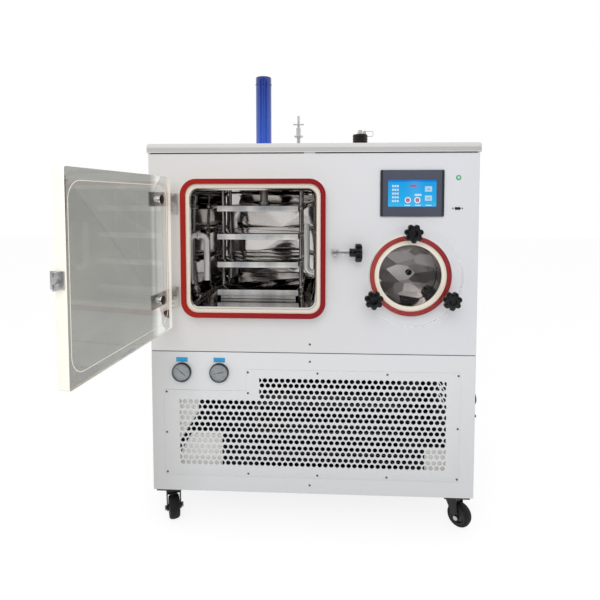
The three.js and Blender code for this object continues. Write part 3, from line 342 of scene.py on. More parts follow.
def lathe(points, axis, at=(0, 0, 0), closed=False, steps=72):
    """A turned skin: points of radius and level, spun about an axis."""
    return stack(circle(0, steps), [(-radius, level) for radius, level in points], axis, at, closed)


def soft_ends(low, high, edge, steps=3):
    """Profile of a solid between two levels, with its rims rounded by the edge radius."""
    turns = [pi / 2 * i / steps for i in range(steps + 1)]
    lower = [(edge * (1 - sin(t)), low + edge * (1 - cos(t))) for t in turns]
    upper = [(edge * (1 - cos(t)), high - edge * (1 - sin(t))) for t in turns]
    return lower + upper


def as_mesh(skin, name="part"):
    mesh = bpy.data.meshes.new(name)
    skin.to_mesh(mesh)
    skin.free()
    return mesh


def together(*skins):
    """Several skins as one."""
    whole = bmesh.new()
    for skin in skins:
        part = as_mesh(skin)
        whole.from_mesh(part)
        bpy.data.meshes.remove(part)
    return whole


def disc(radius, low, high, axis, at=(0, 0, 0), edge=0.0008, steps=48):
    return stack(circle(radius, steps), soft_ends(low, high, edge), axis, at)


def block(low, high, edge=0.0008):
    """A rectangular block with softened edges."""
    low, high = Vector(low), Vector(high)
    size, middle = high - low, (low + high) / 2
    edge = min(edge, 0.45 * min(size))
    outline = rounded_rectangle(size.x, size.y, edge, 2)
    return stack(outline, soft_ends(low.z, high.z, edge, 2), "z", (middle.x, middle.y, 0))


def placed(name, skin, finish, body="root", replaces=(), smooth=40):
    """Makes a skin, or a mesh, a finished piece of the machine."""
    mesh = as_mesh(skin, name) if isinstance(skin, bmesh.types.BMesh) else skin
    mesh.name = name
    mesh.polygons.foreach_set("use_smooth", [True] * len(mesh.polygons))
    mesh.set_sharp_from_angle(angle=radians(smooth))
    mesh.materials.clear()
    mesh.materials.append(finish.material)
    piece = in_scene(name, mesh)
    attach(piece, body)
    if replaces:
        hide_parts(*replaces)
    return piece


def moved(skin, matrix):
    bmesh.ops.transform(skin, matrix=matrix, verts=skin.verts)
    return skin


def softened(node, edge=0.0008, steps=2):
    """A copy of a CAD node's mesh with its sharp edges rounded."""
    skin = bmesh.new()
    skin.from_mesh(frame["nodes"][node].data)
    bmesh.ops.remove_doubles(skin, verts=skin.verts, dist=1e-6)
    bmesh.ops.dissolve_limit(skin, angle_limit=radians(1), verts=skin.verts, edges=skin.edges)
    bmesh.ops.recalc_face_normals(skin, faces=skin.faces)
    sharp = [e for e in skin.edges if len(e.link_faces) == 2 and e.calc_face_angle(0) > radians(35)]
    bmesh.ops.bevel(skin, geom=sharp, offset=edge, segments=steps, profile=0.5, affect="EDGES",
                    clamp_overlap=True)
    return skin


joints = {joint["name"]: joint for joint in frame["joints"]}
caster_paint = painted("caster_paint", "0C0C0F", 0.3, Specular_IOR_Level=0.4)
tread = Finish("caster_rubber", colour("0E0E10"), 0.6, Specular_IOR_Level=0.4)
scuff = tread.noise(90, 5)
tread.blend(scuff, "0A0A0C", "1D1D1E")
tread.wear(Roughness=0.6 + 0.3 * scuff)
tread.bumps(tread.noise(900, 2), 0.00004)
hub_plastic = painted("wheel_hub", "131316", 0.4)
zinc = Finish("zinc_plate", colour("B9BABC"), 0.3, 1.0)
zinc.wear(Roughness=0.24 + 0.2 * zinc.noise(220, 3))
wheel_radius = Box("caster_wheel_rear_left").size.z / 2
wheel_width = 0.034
hub_proud = 0.003


def wheel(to_place):
    """Tyre and hub about X at the origin, then turned and moved to their place."""
    half = wheel_width / 2
    hub_radius = wheel_radius * 0.66
    crown_height = 0.006
    shoulder = wheel_radius - crown_height
    crown = [(hub_radius, -half), (shoulder, -half)]
    crown += [(shoulder + crown_height * sin(angle), -(half - 0.0005) * cos(angle))
              for angle in (pi * i / 8 for i in range(9))]
    crown += [(shoulder, half), (hub_radius, half)]
    tyre = lathe(crown, "x", closed=True)
    hub_face = ((0.0056, hub_proud), (0.010, hub_proud), (0.0115, 0.0012), (hub_radius - 0.006, -0.003),
                (hub_radius - 0.003, 0.0004), (hub_radius, 0))
    hub = lathe([(radius, -half - rise) for radius, rise in hub_face]
                + [(radius, half + rise) for radius, rise in hub_face[::-1]], "x", closed=True, steps=48)
    return moved(tyre, to_place), moved(hub, to_place)


casters = (
    ("front_left", "swivel_left", "wheel_front_left", "fork"),
    ("front_right", "swivel_right", "wheel_front_right", "fork"),
    ("rear_left", "root", "wheel_rear_left", "bracket"),
    ("rear_right", "root", "wheel_rear_right", "bracket"),
)
for corner, carrier, roller, kind in casters:
    axle = joints[f"{roller}_roll"]
    yaw = Vector(axle["axis"]).to_2d().angle_signed(Vector((1, 0)))
    to_axle = Matrix.Translation(Vector(axle["pos_m"])) @ Matrix.Rotation(yaw, 4, "Z")
    tyre, hub = wheel(to_axle)
    placed(f"tyre_{corner}", tyre, tread, roller, (f"caster_wheel_{corner}",))
    placed(f"wheel_hub_{corner}", hub, hub_plastic, roller)
    holder = f"caster_{kind}_{corner}"
    placed(f"{kind}_{corner}", softened(holder, 0.0009), caster_paint, carrier, (holder,))
    if kind == "fork":
        plate = f"caster_plate_{corner}"
        placed(f"top_plate_{corner}", softened(plate, 0.0003), caster_paint, "root", (plate,))
    nut_at = wheel_width / 2 + 0.0123
    axle_nuts = [disc(0.0082, -0.0021, 0.0021, "x", (side * nut_at, 0, 0), 0.0005, 6) for side in (-1, 1)]
    placed(f"axle_nuts_{corner}", moved(together(*axle_nuts), to_axle), zinc, carrier)

# ---------------------------------------------------------------- condenser and fan
# Air-cooled condenser: copper tubes in aluminium fins between black end plates, with a fan
# in a round shroud behind it. It stands on the floor tray, right behind the vent cover.


class Growth(Tree):
    """A Geometry Nodes tree with named sizes, run once to give a plain mesh."""

    family = "GeometryNode"

    def __init__(self, name, sizes):
        self.group = bpy.data.node_groups.new(name, "GeometryNodeTree")
        super().__init__(self.group)
        self.sizes = sizes
        sockets = self.group.interface
        sockets.new_socket("Geometry", in_out="INPUT", socket_type="NodeSocketGeometry")
        for size, value in sizes.items():
            kind = "NodeSocketInt" if isinstance(value, int) else "NodeSocketFloat"
            sockets.new_socket(size, in_out="INPUT", socket_type=kind)
        sockets.new_socket("Geometry", in_out="OUTPUT", socket_type="NodeSocketGeometry")
        entry = self.nodes.new("NodeGroupInput")
        self.given = {socket.name: Wire(self, socket) for socket in entry.outputs if socket.name}

    def point(self, x=0.0, y=0.0, z=0.0):
        return self.add("ShaderNodeCombineXYZ", {"X": x, "Y": y, "Z": z})

    def shift(self, thing, **where):
        return self.add("Transform", {"Geometry": thing, **where})

    def copies(self, points, thing, **how):
        """The thing at each of the points."""
        return self.add("InstanceOnPoints", {"Points": points, "Instance": thing, **how})

    def many(self, kind, socket, parts, **settings):
        """A node that takes several parts in one socket."""
        made = self.add(kind, {socket: parts[0]}, **settings)
        for part in parts[1:]:
            self.links.new(part.socket, made.socket.node.inputs[socket])
        return made

    def joined(self, *parts):
        return self.many("JoinGeometry", 0, parts)

    def solids(self, operation, *parts):
        """The union or the intersection of solids."""
        return self.many("MeshBoolean", 1, parts, operation=operation, solver="MANIFOLD")

    def less(self, solid, *tools):
        """A solid less each tool in turn."""
        for tool in tools:
            solid = self.add("MeshBoolean", {0: solid, 1: tool}, operation="DIFFERENCE", solver="MANIFOLD")
        return solid

    def run(self, result, finish, mesh=None, places=()):
        """Ends the tree, evaluates it on a mesh or on bare points, and returns the new mesh."""
        solid = self.add("RealizeInstances", {0: result})
        solid = self.add("SetMaterial", {"Geometry": solid, "Material": finish.material})
        exit_node = self.nodes.new("NodeGroupOutput")
        self.links.new(solid.socket, exit_node.inputs["Geometry"])
        if mesh is None:
            mesh = bpy.data.meshes.new("places")
            mesh.from_pydata(list(places), [], [])
        holder = in_scene("holder", mesh)
        modifier = holder.modifiers.new("growth", "NODES")
        modifier.node_group = self.group
        for item in self.group.interface.items_tree:
            if item.in_out == "INPUT" and item.name in self.sizes:
                modifier[item.identifier] = self.sizes[item.name]
        bpy.context.view_layer.update()
        grown = bpy.data.meshes.new_from_object(
            holder.evaluated_get(bpy.context.evaluated_depsgraph_get()))
        holder.modifiers.remove(modifier)
        bpy.data.objects.remove(holder)
        return grown


def bent(points, bend, steps=8):
    """A path of straight runs, its corners rounded to the bend radius."""
    points = [Vector(p) for p in points]
    path = [points[0]]
    for before, corner, after in zip(points, points[1:], points[2:]):
        back, on = (before - corner).normalized(), (after - corner).normalized()
        half = back.angle(on) / 2
        middle = corner + (back + on).normalized() * bend / sin(half)
        start = corner + back * bend * cos(half) / sin(half) - middle
        axis = back.cross(on)
        sweep = pi - 2 * half
        for i in range(steps + 1):
            path.append(middle + Matrix.Rotation(-sweep * i / steps, 3, axis) @ start)
    path.append(points[-1])
    return path


def tube(path, radius, bore=0.0, steps=16):
    """A round bar along a path, or a pipe with an open bore."""
    rings = []
    heading = (path[1] - path[0]).normalized()
    side = heading.orthogonal().normalized()
    for i, point in enumerate(path):
        ahead = path[min(i + 1, len(path) - 1)] - path[max(i - 1, 0)]
        new_heading = ahead.normalized()
        side = heading.rotation_difference(new_heading) @ side
        heading = new_heading
        rise = heading.cross(side)
        rings.append((point, side.copy(), rise))

    def ring(frame_at, reach):
        point, side, rise = frame_at
        return [point + reach * (side * cos(2 * pi * i / steps) + rise * sin(2 * pi * i / steps))
                for i in range(steps)]
    outer = [ring(at, radius) for at in rings]
    if not bore:
        return loft(outer)
    return loft(outer + [ring(at, bore) for at in reversed(rings)], closed=True)


condenser = Box("condenser")
fan = Box("condenser_fan")
core_back = condenser.low.y + 0.060
core_low = condenser.low.z + 0.022
fin_aluminium = Finish("fin_aluminium", colour("3C3E40"), 0.5, 0.75)
fin_aluminium.blend(fin_aluminium.noise(40, 4), "26282A", "4C4E50")
black_sheet = painted("black_paint", "151517", 0.5)
tube_metal = Finish("condenser_tubes", colour("8F8A84"), 0.38, 0.9)
tube_metal.blend(tube_metal.noise(30, 3), "5F5853", "8A8783")

fins = Growth("fins", {"Count": 158, "Pitch": 0.0031, "Thickness": 0.0004})
row = fins.add("MeshLine", {"Count": fins.given["Count"], "Offset": fins.point(x=fins.given["Pitch"])})
fin = fins.add("MeshCube", {"Size": fins.point(
    fins.given["Thickness"], 0.052, condenser.high.z - core_low - 0.006)})
row = fins.shift(fins.copies(row, fin), Translation=(
    condenser.low.x + 0.0165, condenser.low.y + 0.030, (core_low + condenser.high.z) / 2))
placed("condenser_fins", fins.run(row, fin_aluminium), fin_aluminium)

tube_rise = 0.0254
tube_start, tube_end = condenser.high.x - 0.012, condenser.low.x + 0.006
tube_path = bent([(tube_start, 0, 0), (tube_end, 0, 0), (tube_end, 0, tube_rise),
                  (tube_start, 0, tube_rise)], 0.0055, 4)
hairpin = tube(tube_path, 0.0048, steps=8)
tubes = Growth("tube_rows", {"Rows": 6, "Row pitch": 2 * tube_rise})
lines = []
for depth in (0.0065, 0.030, 0.0535):
    line = tubes.add("MeshLine", {
        "Count": tubes.given["Rows"], "Start Location": (0, condenser.low.y + depth, core_low + 0.020),
        "Offset": tubes.point(z=tubes.given["Row pitch"])})
    lines.append(tubes.copies(line, tubes.given["Geometry"]))
placed("condenser_tubes", tubes.run(tubes.joined(*lines), tube_metal, as_mesh(hairpin)), tube_metal)

plate_start = condenser.low.x + 0.0135
plate_end = condenser.high.x - 0.0135
plate_sheet = 0.0015
end_plates = [
    block((x, condenser.low.y, core_low), (x + plate_sheet, core_back, condenser.high.z), 0.0003)
    for x in (plate_start, plate_end - plate_sheet)]
end_plates += [
    block((plate_start, condenser.low.y, z), (plate_end, core_back, z + plate_sheet), 0.0003)
    for z in (core_low, condenser.high.z - plate_sheet)]
end_plates += [
    block((x - 0.018, condenser.low.y, condenser.low.z), (x + 0.018, core_back, core_low + 0.001), 0.001)
    for x in (condenser.low.x + 0.02, condenser.high.x - 0.02)]
placed("condenser_frame", together(*end_plates), black_sheet, replaces=("condenser",))

fan_axis = joints["fan_spin"]["pos_m"]
fan_middle = Vector((fan_axis[0], fan.middle.y, fan_axis[2]))
shroud_radius = 0.155
placed("fan_shroud", lathe((
    (shroud_radius, core_back), (shroud_radius, condenser.high.y - 0.003),
    (shroud_radius - 0.001, condenser.high.y), (shroud_radius - 0.003, condenser.high.y - 0.001),
    (shroud_radius - 0.005, core_back + 0.012), (shroud_radius - 0.005, core_back)),
    "y", (fan_middle.x, 0, fan_middle.z), closed=True), black_sheet)

fan_black = painted("fan_plastic", "1A1A1C", 0.5)
fan_hub_radius = 0.030
blade_reach = 0.1435
blade_count = 5


def fan_blade():
    """One twisted blade, widening outwards, about Y."""
    rings = []
    for i in range(9):
        along = i / 8
        reach = fan_hub_radius - 0.004 + along * (blade_reach - fan_hub_radius + 0.004)
        chord = 0.040 + 0.030 * along
        pitch = radians(38 - 16 * along)
        ring = []
        for j in range(16):
            angle = 2 * pi * j / 16
            across, thick = chord / 2 * cos(angle), 0.0013 * sin(angle)
            camber = 0.004 * (1 - (2 * across / chord) ** 2)
            x = across * cos(pitch) - (thick + camber) * sin(pitch)
            y = across * sin(pitch) + (thick + camber) * cos(pitch)
            ring.append(Vector((x, y, reach)))
        rings.append(ring)
    return loft(rings)


blades = [moved(fan_blade(), Matrix.Rotation(2 * pi * i / blade_count + pi / 2, 4, "Y"))
          for i in range(blade_count)]
fan_hub = disc(fan_hub_radius, fan.low.y - fan_middle.y, fan.high.y - fan_middle.y, "y", edge=0.004)
fan_wheel = moved(together(*blades, fan_hub), Matrix.Translation(fan_middle))
placed("fan_wheel", fan_wheel, fan_black, "fan", ("condenser_fan",))
cast_black = painted("motor_paint", "1E1F22", 0.5)
placed("fan_motor_body", softened("fan_motor", 0.001), cast_black, replaces=("fan_motor",))

# ---------------------------------------------------------------- compressor and oil pump
# Hermetic compressor in black paint on a square plate with rubber feet. The oil pump that
# feeds the shelves stands on the left, its motor behind its head.

can = Box("compressor")
can_radius = 0.095
can_base = can.low.z + 0.032
dome_base = can.high.z - 0.060
can_profile = [(0, can_base), (can_radius - 0.018, can_base), (can_radius - 0.006, can_base + 0.006),
               (can_radius, can_base + 0.020), (can_radius, can.high.z - 0.105),
               (can_radius, can.high.z - 0.100), (can_radius, can.high.z - 0.095), (can_radius, dome_base)]
can_profile += [(can_radius * cos(angle), dome_base + 0.058 * sin(angle))
                for angle in (pi / 2 * i / 8 for i in range(1, 9))]
can_skin = lathe(can_profile, "z", (can.middle.x, can.middle.y, 0))
foot_at = can_radius - 0.030
base_half = foot_at + 0.014
can_plate = block((can.middle.x - base_half, can.middle.y - base_half, can.low.z + 0.026),
                  (can.middle.x + base_half, can.middle.y + base_half, can.low.z + 0.032), 0.002)
terminal = block((can.middle.x - 0.022, can.low.y + 0.001, can.middle.z - 0.03),
                 (can.middle.x + 0.022, can.low.y + 0.020, can.middle.z + 0.03), 0.003)
placed("compressor_can", together(can_skin, can_plate, terminal), cast_black, replaces=("compressor",))
foot_rubber = painted("foot_rubber", "202021", 0.75)
feet = [disc(0.0135, can.low.z, can.low.z + 0.0262, "z",
             (can.middle.x + x * foot_at, can.middle.y + y * foot_at, 0), 0.003, 24)
        for x in (-1, 1) for y in (-1, 1)]
placed("compressor_feet", together(*feet), foot_rubber)

pump_paint = painted("pump_paint", "2B2C2F", 0.5)
placed("oil_pump", softened("circulation_pump", 0.003, 3), pump_paint, replaces=("circulation_pump",))

# ---------------------------------------------------------------- lower front panel
# Folded steel sheet in light grey baked paint, with rounded upright edges. It closes the
# plant bay; the vent cover sits over its stepped opening and two gauges beside it.


def folded_tray(low, high, face_y, inward):
    """Front or rear panel: sheet folded back at both sides, its corners rounded."""
    bend, sheet = 0.004, 0.0018
    half = (high.x - low.x) / 2
    end = face_y + inward * (high.y - low.y)
    turns = [pi / 2 * i / 6 for i in range(7)]

    def corner(radius, width, angles):
        middle = Vector((width - radius, face_y + inward * (half - width + radius)))
        return [(middle.x + radius * cos(a), middle.y - inward * radius * sin(a)) for a in angles]

    outside = [(half, end)] + corner(bend, half, turns)
    inside = corner(bend - sheet, half - sheet, turns[::-1]) + [(half - sheet, end)]
    outline = outside + [(-x, y) for x, y in outside[::-1] + inside[::-1]] + inside
    middle_x = (low.x + high.x) / 2
    return loft([[Vector((x + middle_x, y, z)) for x, y in outline] for z in (low.z, high.z)])


def carve(skin, *cutters):
    """The skin less its cutters, which don't meet one another."""
    holder = in_scene("holder", as_mesh(skin))
    tool = in_scene("tool", as_mesh(together(*cutters)))
    modifier = holder.modifiers.new("cut", "BOOLEAN")
    modifier.operation = "DIFFERENCE"
    modifier.solver = "MANIFOLD"
    modifier.object = tool
    bpy.context.view_layer.update()
    result = bpy.data.meshes.new_from_object(holder.evaluated_get(bpy.context.evaluated_depsgraph_get()))
    for thing in (holder, tool):
        bpy.data.objects.remove(thing)
    rest = bmesh.new()
    rest.from_mesh(result)
    bmesh.ops.remove_doubles(rest, verts=rest.verts, dist=1e-6)
    return rest


def through(outline, low, high, axis, at=(0, 0, 0)):
    return stack(outline, [(0, low), (0, high)], axis, at)


lower = Box("lower_front_panel")
upper = Box("upper_front_panel")
cover = Box("vent_cover")
gauges = {side: Box(f"gauge_{side}") for side in ("left", "right")}
front_y = lower.low.y
lower_paint = painted("lower_panel_paint", "D7D7D5", 0.44)
# Painted shade and light: the paint darkens towards the left edge and grows lighter towards the top.
painted_shade_from_left = (lower_paint.along("X") - lower.low.x) / 0.22
lower_paint.wear(Base_Color=lower_paint.mix(
    painted_shade_from_left + 0.3 * lower_paint.noise(2.6, 3), colour("C5C5C3"),
    lower_paint.mix(lower_paint.along("Z") / lower.high.z, colour("D9DADC"), colour("E5E6E8"))))
step_x = -0.2166
step_z = cover.high.z - 0.0735


def stepped(inset=0.0):
    """The vent cover's outline in X and Z: lower where the gauges stand."""
    left, right = cover.low.x + inset, cover.high.x - inset
    low, high = cover.low.z + inset, cover.high.z - inset
    return [(left, low), (right, low), (right, high), (step_x + inset, high),
            (step_x + inset, step_z - inset), (left, step_z - inset)]


through_front = (front_y - 0.01, front_y + 0.01, "y")
gauge_opening = 0.0293
placed("lower_panel", carve(
    folded_tray(lower.low, lower.high, front_y, 1),
    through(lambda inset: stepped(0.020), *through_front),
    *(through(circle(gauge_opening), *through_front, (gauge.middle.x, 0, gauge.middle.z))
      for gauge in gauges.values())),
    lower_paint, replaces=("lower_front_panel",))

# ---------------------------------------------------------------- vent cover
# Flat painted sheet over the plant bay's opening, punched with staggered round holes in a
# stepped field, and held to the lower panel by small domed screws. White plates behind it, with
# a faint painted glow.

hole_radius = 0.0078
hole_pitch = 0.01935
near_rows = 0.0173
far_rows = 0.0212
first_row = cover.high.z - 0.0357
field_left = cover.low.x + 0.0514
field_right = field_left + 46 * hole_pitch
upper_left = field_left + 14 * hole_pitch
punched = Growth("perforations", {
    "Holes in a row": 47, "Rows": 16, "Upper rows": 4, "Pitch": hole_pitch, "Near rows": near_rows,
    "Far rows": far_rows, "Radius": hole_radius, "Field start": field_left, "Field end": field_right,
    "Upper rows start": upper_left, "First row": first_row})
given = punched.given
index = punched.add("InputIndex")
row = index.math("FLOOR", (index + 0.5) / given["Holes in a row"])
column = index - row * given["Holes in a row"]
odd = row % 2
pair_height = given["Near rows"] + given["Far rows"]
across = given["Field start"] + (column + 0.5 * odd) * given["Pitch"]
height = given["First row"] - (row - odd) * 0.5 * pair_height - odd * given["Near rows"]
cover_y = (cover.low.y + cover.high.y) / 2
holes = punched.add("Points", {
    "Count": given["Holes in a row"] * given["Rows"], "Position": punched.point(across, cover_y, height)})
beyond = across > given["Field end"] + 0.001
outside = (row < given["Upper rows"] - 0.5) * (across < given["Upper rows start"] - 0.001)
holes = punched.add("DeleteGeometry", {"Geometry": holes, "Selection": beyond + outside > 0.5},
                    domain="POINT")
punch = punched.add("MeshCylinder", {"Vertices": 14, "Radius": given["Radius"], "Depth": 0.02})
punches = punched.add("RealizeInstances", {0: punched.copies(holes, punch, Rotation=(pi / 2, 0, 0))})


def field(left, right, low, high):
    """A crate round the rows between two heights; holes are cut off at its sides."""
    crate = punched.add("MeshCube", {"Size": punched.point(right - left, 0.03, high - low)})
    return punched.shift(crate, Translation=punched.point(0.5 * (left + right), cover_y, 0.5 * (low + high)))


step_row = given["First row"] - 0.5 * given["Upper rows"] * pair_height + 0.5 * given["Far rows"]
lower_field = field(given["Field start"], given["Field end"], step_row - 0.5, step_row)
upper_field = field(given["Upper rows start"], given["Field end"], step_row + 0.0002, step_row + 0.5)
punches = punched.solids("INTERSECT", punches, punched.joined(lower_field, upper_field))
sheet = punched.less(given["Geometry"], punches)
cover_blank = as_mesh(stack(stepped, soft_ends(cover.low.y, cover.high.y, 0.0005, 2), "y"))
placed("vent_cover_sheet", punched.run(sheet, lower_paint, cover_blank), lower_paint,
       replaces=("vent_cover",), smooth=30)

# The backing plates glow faintly: painted light on what shows through the holes.
backing_painted_glow = painted("backing_painted_glow", "DAD8D3", 0.6, Emission_Color=(1, 0.97, 0.93, 1),
                        Emission_Strength=0.18)
backings = {
    "right": [(0.382, 0.135), (0.484, 0.135), (0.484, 0.274), (0.382, 0.274)],
    "left": [(-0.474, 0.268), (-0.455, 0.268), (-0.424, 0.322), (-0.386, 0.382), (-0.384, 0.442),
             (-0.474, 0.442)],
    "middle": [(-0.466, 0.150), (-0.305, 0.150), (-0.305, 0.304), (-0.411, 0.304), (-0.452, 0.232),
               (-0.466, 0.206)]}
for name, corners in backings.items():
    plate = loft([[Vector((x, front_y + behind, z)) for x, z in corners] for behind in (0.0225, 0.0240)])
    placed(f"backing_{name}", plate, backing_painted_glow)

screw_steel = Finish("screw_steel", colour("6A6B6E"), 0.38, 0.9)
screw_steel.wear(Roughness=0.3 + 0.2 * screw_steel.noise(400, 2))


def screws(name, places, facing=(0, -1, 0), head=0.0037, body="root", finish=screw_steel):
    """Domed heads with a cross slot at the places, facing along a direction."""
    tree = Growth(name, {"Head radius": head, "Head height": 0.55 * head, "Slot width": 0.28 * head})
    given = tree.given
    dome = tree.add("MeshUVSphere", {"Segments": 16, "Rings": 8, "Radius": 1.0})
    radius, rise = given["Head radius"], given["Head height"]
    dome = tree.shift(dome, Scale=tree.point(radius, radius, rise))
    slot = tree.add("MeshCube", {"Size": tree.point(1.25 * radius, given["Slot width"], rise)})
    slots = tree.solids("UNION", slot, tree.shift(slot, Rotation=(0, 0, pi / 2)))
    slots = tree.shift(slots, Translation=tree.point(z=1.05 * rise))
    half = tree.add("MeshCube", {"Size": tree.point(3 * radius, 3 * radius, 3 * rise)})
    half = tree.shift(half, Translation=tree.point(z=-1.5 * rise))
    lean = Vector(facing).to_track_quat("Z", "Y").to_euler()
    heads = tree.copies(given["Geometry"], tree.less(dome, slots, half), Rotation=tuple(lean))
    return placed(name, tree.run(heads, finish, places=places), finish, body, smooth=50)


columns = [cover.low.x + 0.0075, step_x + 0.005, 0.0213, 0.2523, cover.high.x - 0.0065]
low_row, high_row = cover.low.z + 0.0095, cover.high.z - 0.009
cover_screws = [(x, cover.low.y, low_row) for x in columns]
cover_screws += [(x, cover.low.y, high_row) for x in columns[1:]]
cover_screws += [(x, cover.low.y, step_z - 0.0065) for x in columns[:2]]
cover_screws += [(x, cover.low.y, cover.low.z + rise)
                 for x, rise in ((columns[0], 0.148), (columns[4], 0.181))]
screws("vent_cover_screws", cover_screws)
screws("panel_screws", [(-0.004, front_y, z) for z in
                        (lower.low.z + 0.029, lower.high.z - 0.0275, upper.low.z + 0.028)])

# ---------------------------------------------------------------- gauges
# Two pressure gauges in black steel cases, pushed through the lower panel: a metallic dial
# with ticks and figures, a thin pointer with a heavy tail, a glass lens. A blue strip above.

case_paint = painted("gauge_case", "1C1C20", 0.36)
dial_metal = Finish("gauge_dial", colour("858B8E"), 0.42, 0.35)
dial_metal.blend(dial_metal.noise(60, 3, (1, 1, 4)), "6C7478", "9CA4A7")
ring_metal = Finish("gauge_ring", colour("8F9498"), 0.3, 0.9)
ring_metal.wear(Roughness=0.26 + 0.12 * ring_metal.noise(200, 2))
ink = painted("gauge_ink", "1E2226", 0.5)
lens_glass = Finish("gauge_glass", colour("F4F8F8"), 0.06, Alpha=0.09)
lens_glass.wear(Roughness=0.04 + 0.05 * lens_glass.noise(50, 2))
pointer_paint = painted("pointer_paint", "17181C", 0.4)
strip_blue = painted("strip_blue", "2F9BD6", 0.4)
dial_radius = 0.0275
dial_sweep = 270


def figures(text, place):
    """Raised figures that face the front, centred on a place."""
    words = bpy.data.curves.new("figures", "FONT")
    for name, value in {"body": text, "size": 0.0052, "align_x": "CENTER", "align_y": "CENTER",
                        "extrude": 0.00015, "resolution_u": 3}.items():
        setattr(words, name, value)
    writing = in_scene("figures", words)
    bpy.context.view_layer.update()
    shapes = bmesh.new()
    shapes.from_mesh(writing.to_mesh())
    writing.to_mesh_clear()
    bpy.data.objects.remove(writing)
    return moved(shapes, Matrix.Translation(place) @ Matrix.Rotation(pi / 2, 4, "X"))


for side, gauge in gauges.items():
    x, z = gauge.middle.x, gauge.middle.z
    pivot = Vector((x, 0, z))
    face = gauge.low.y
    dial_y = face + 0.0051
    marks_y = dial_y - 0.0007
    radius = gauge.size.x / 2
    case = lathe((
        (0.0, dial_y), (dial_radius + 0.0013, dial_y), (dial_radius + 0.0018, dial_y - 0.0004),
        (dial_radius + 0.0019, face + 0.0010), (dial_radius + 0.0025, face + 0.0002),
        (radius - 0.0016, face), (radius - 0.0005, face + 0.0004), (radius, face + 0.0016),
        (radius, front_y - 0.0003), (0.0285, front_y - 0.0003), (0.0285, gauge.high.y - 0.016),
        (0.007, gauge.high.y - 0.016), (0.007, gauge.high.y), (0.0, gauge.high.y)), "y", pivot)
    placed(f"gauge_case_{side}", case, case_paint, replaces=(f"gauge_{side}",),
           smooth=35)
    ring = lathe((
        (dial_radius + 0.0016, face + 0.0005), (dial_radius + 0.0016, dial_y - 0.0004),
        (dial_radius + 0.0002, dial_y - 0.0004), (dial_radius + 0.0002, face + 0.0009)),
        "y", pivot, closed=True)
    placed(f"gauge_ring_{side}", ring, ring_metal)
    dial = disc(dial_radius - 0.0004, marks_y, dial_y - 0.0001, "y", pivot, 0.0002, 64)
    placed(f"gauge_dial_{side}", dial, dial_metal)
    marks = Growth("dial_marks", {
        "Marks": 51, "Sweep": radians(dial_sweep), "Radius": dial_radius - 0.0042,
        "Long mark": 0.0042, "Short mark": 0.0024, "Width": 0.0004})
    given = marks.given
    index = marks.add("InputIndex")
    angle = index * (given["Sweep"] / (given["Marks"] - 1)) - 0.5 * given["Sweep"]
    at = marks.point(given["Radius"] * angle.math("SINE", angle), 0.0,
                     given["Radius"] * angle.math("COSINE", angle))
    dots = marks.add("Points", {"Count": given["Marks"], "Position": at})
    length = given["Short mark"] + (given["Long mark"] - given["Short mark"]) * (index % 5 < 0.5)
    ticks = marks.copies(dots, marks.add("MeshCube", {"Size": (1, 1, 1)}), Rotation=marks.point(y=angle),
                         Scale=marks.point(given["Width"], 0.0003, length))
    ticks = marks.shift(ticks, Translation=(x, marks_y, z))
    placed(f"gauge_marks_{side}", marks.run(ticks, ink), ink)
    figure_radius = dial_radius - 0.0098
    written = []
    for i in range(6):
        turned = radians(dial_sweep * (i / 5 - 0.5))
        written.append(figures(str(2 * i), (
            x + figure_radius * sin(turned), marks_y, z + figure_radius * cos(turned))))
    placed(f"gauge_figures_{side}", together(*written), ink)
    glass = disc(dial_radius, face + 0.0006, face + 0.0016, "y", pivot, 0.0003, 64)
    placed(f"gauge_lens_{side}", glass, lens_glass)
    dress(f"gauge_needle_{side}", pointer_paint)
    needle = Box(f"gauge_needle_{side}")
    reach = [max((edge - middle for edge in edges), key=abs) for edges, middle in (
        ((needle.low.x, needle.high.x), x), ((needle.low.z, needle.high.z), z))]
    back = -Vector((reach[0], 0, reach[1])).normalized()
    wide = Vector((back.z, 0, -back.x))
    flag = [pivot + back * far + wide * half for far, half in (
        (0, 0.0012), (0.0135, 0.0019), (0.0155, 0), (0.0135, -0.0019), (0, -0.0012))]
    tail = together(
        loft([[p + Vector((0, y, 0)) for p in flag] for y in (needle.low.y - 0.0003, needle.high.y)]),
        disc(0.0024, needle.low.y - 0.0006, needle.high.y, "y", pivot, 0.0002, 24))
    placed(f"gauge_needle_tail_{side}", tail, pointer_paint, f"needle_{side}")
    strip_z = gauge.high.z + 0.0095
    strip = block((x - 0.0195, front_y - 0.0006, strip_z - 0.0072),
                  (x + 0.0195, front_y, strip_z + 0.0080), 0.0002)
    placed(f"gauge_strip_{side}", strip, strip_blue)

# ---------------------------------------------------------------- side and rear panels
# Painted steel sheets with columns of pressed louvres: slots under half-round hoods that let
# the plant's warm air out. The rear one is folded at its sides; the right one has a gland.

side_paint = painted("side_panel_paint", "D9D9D6", 0.44)
hood_proud = 0.0045


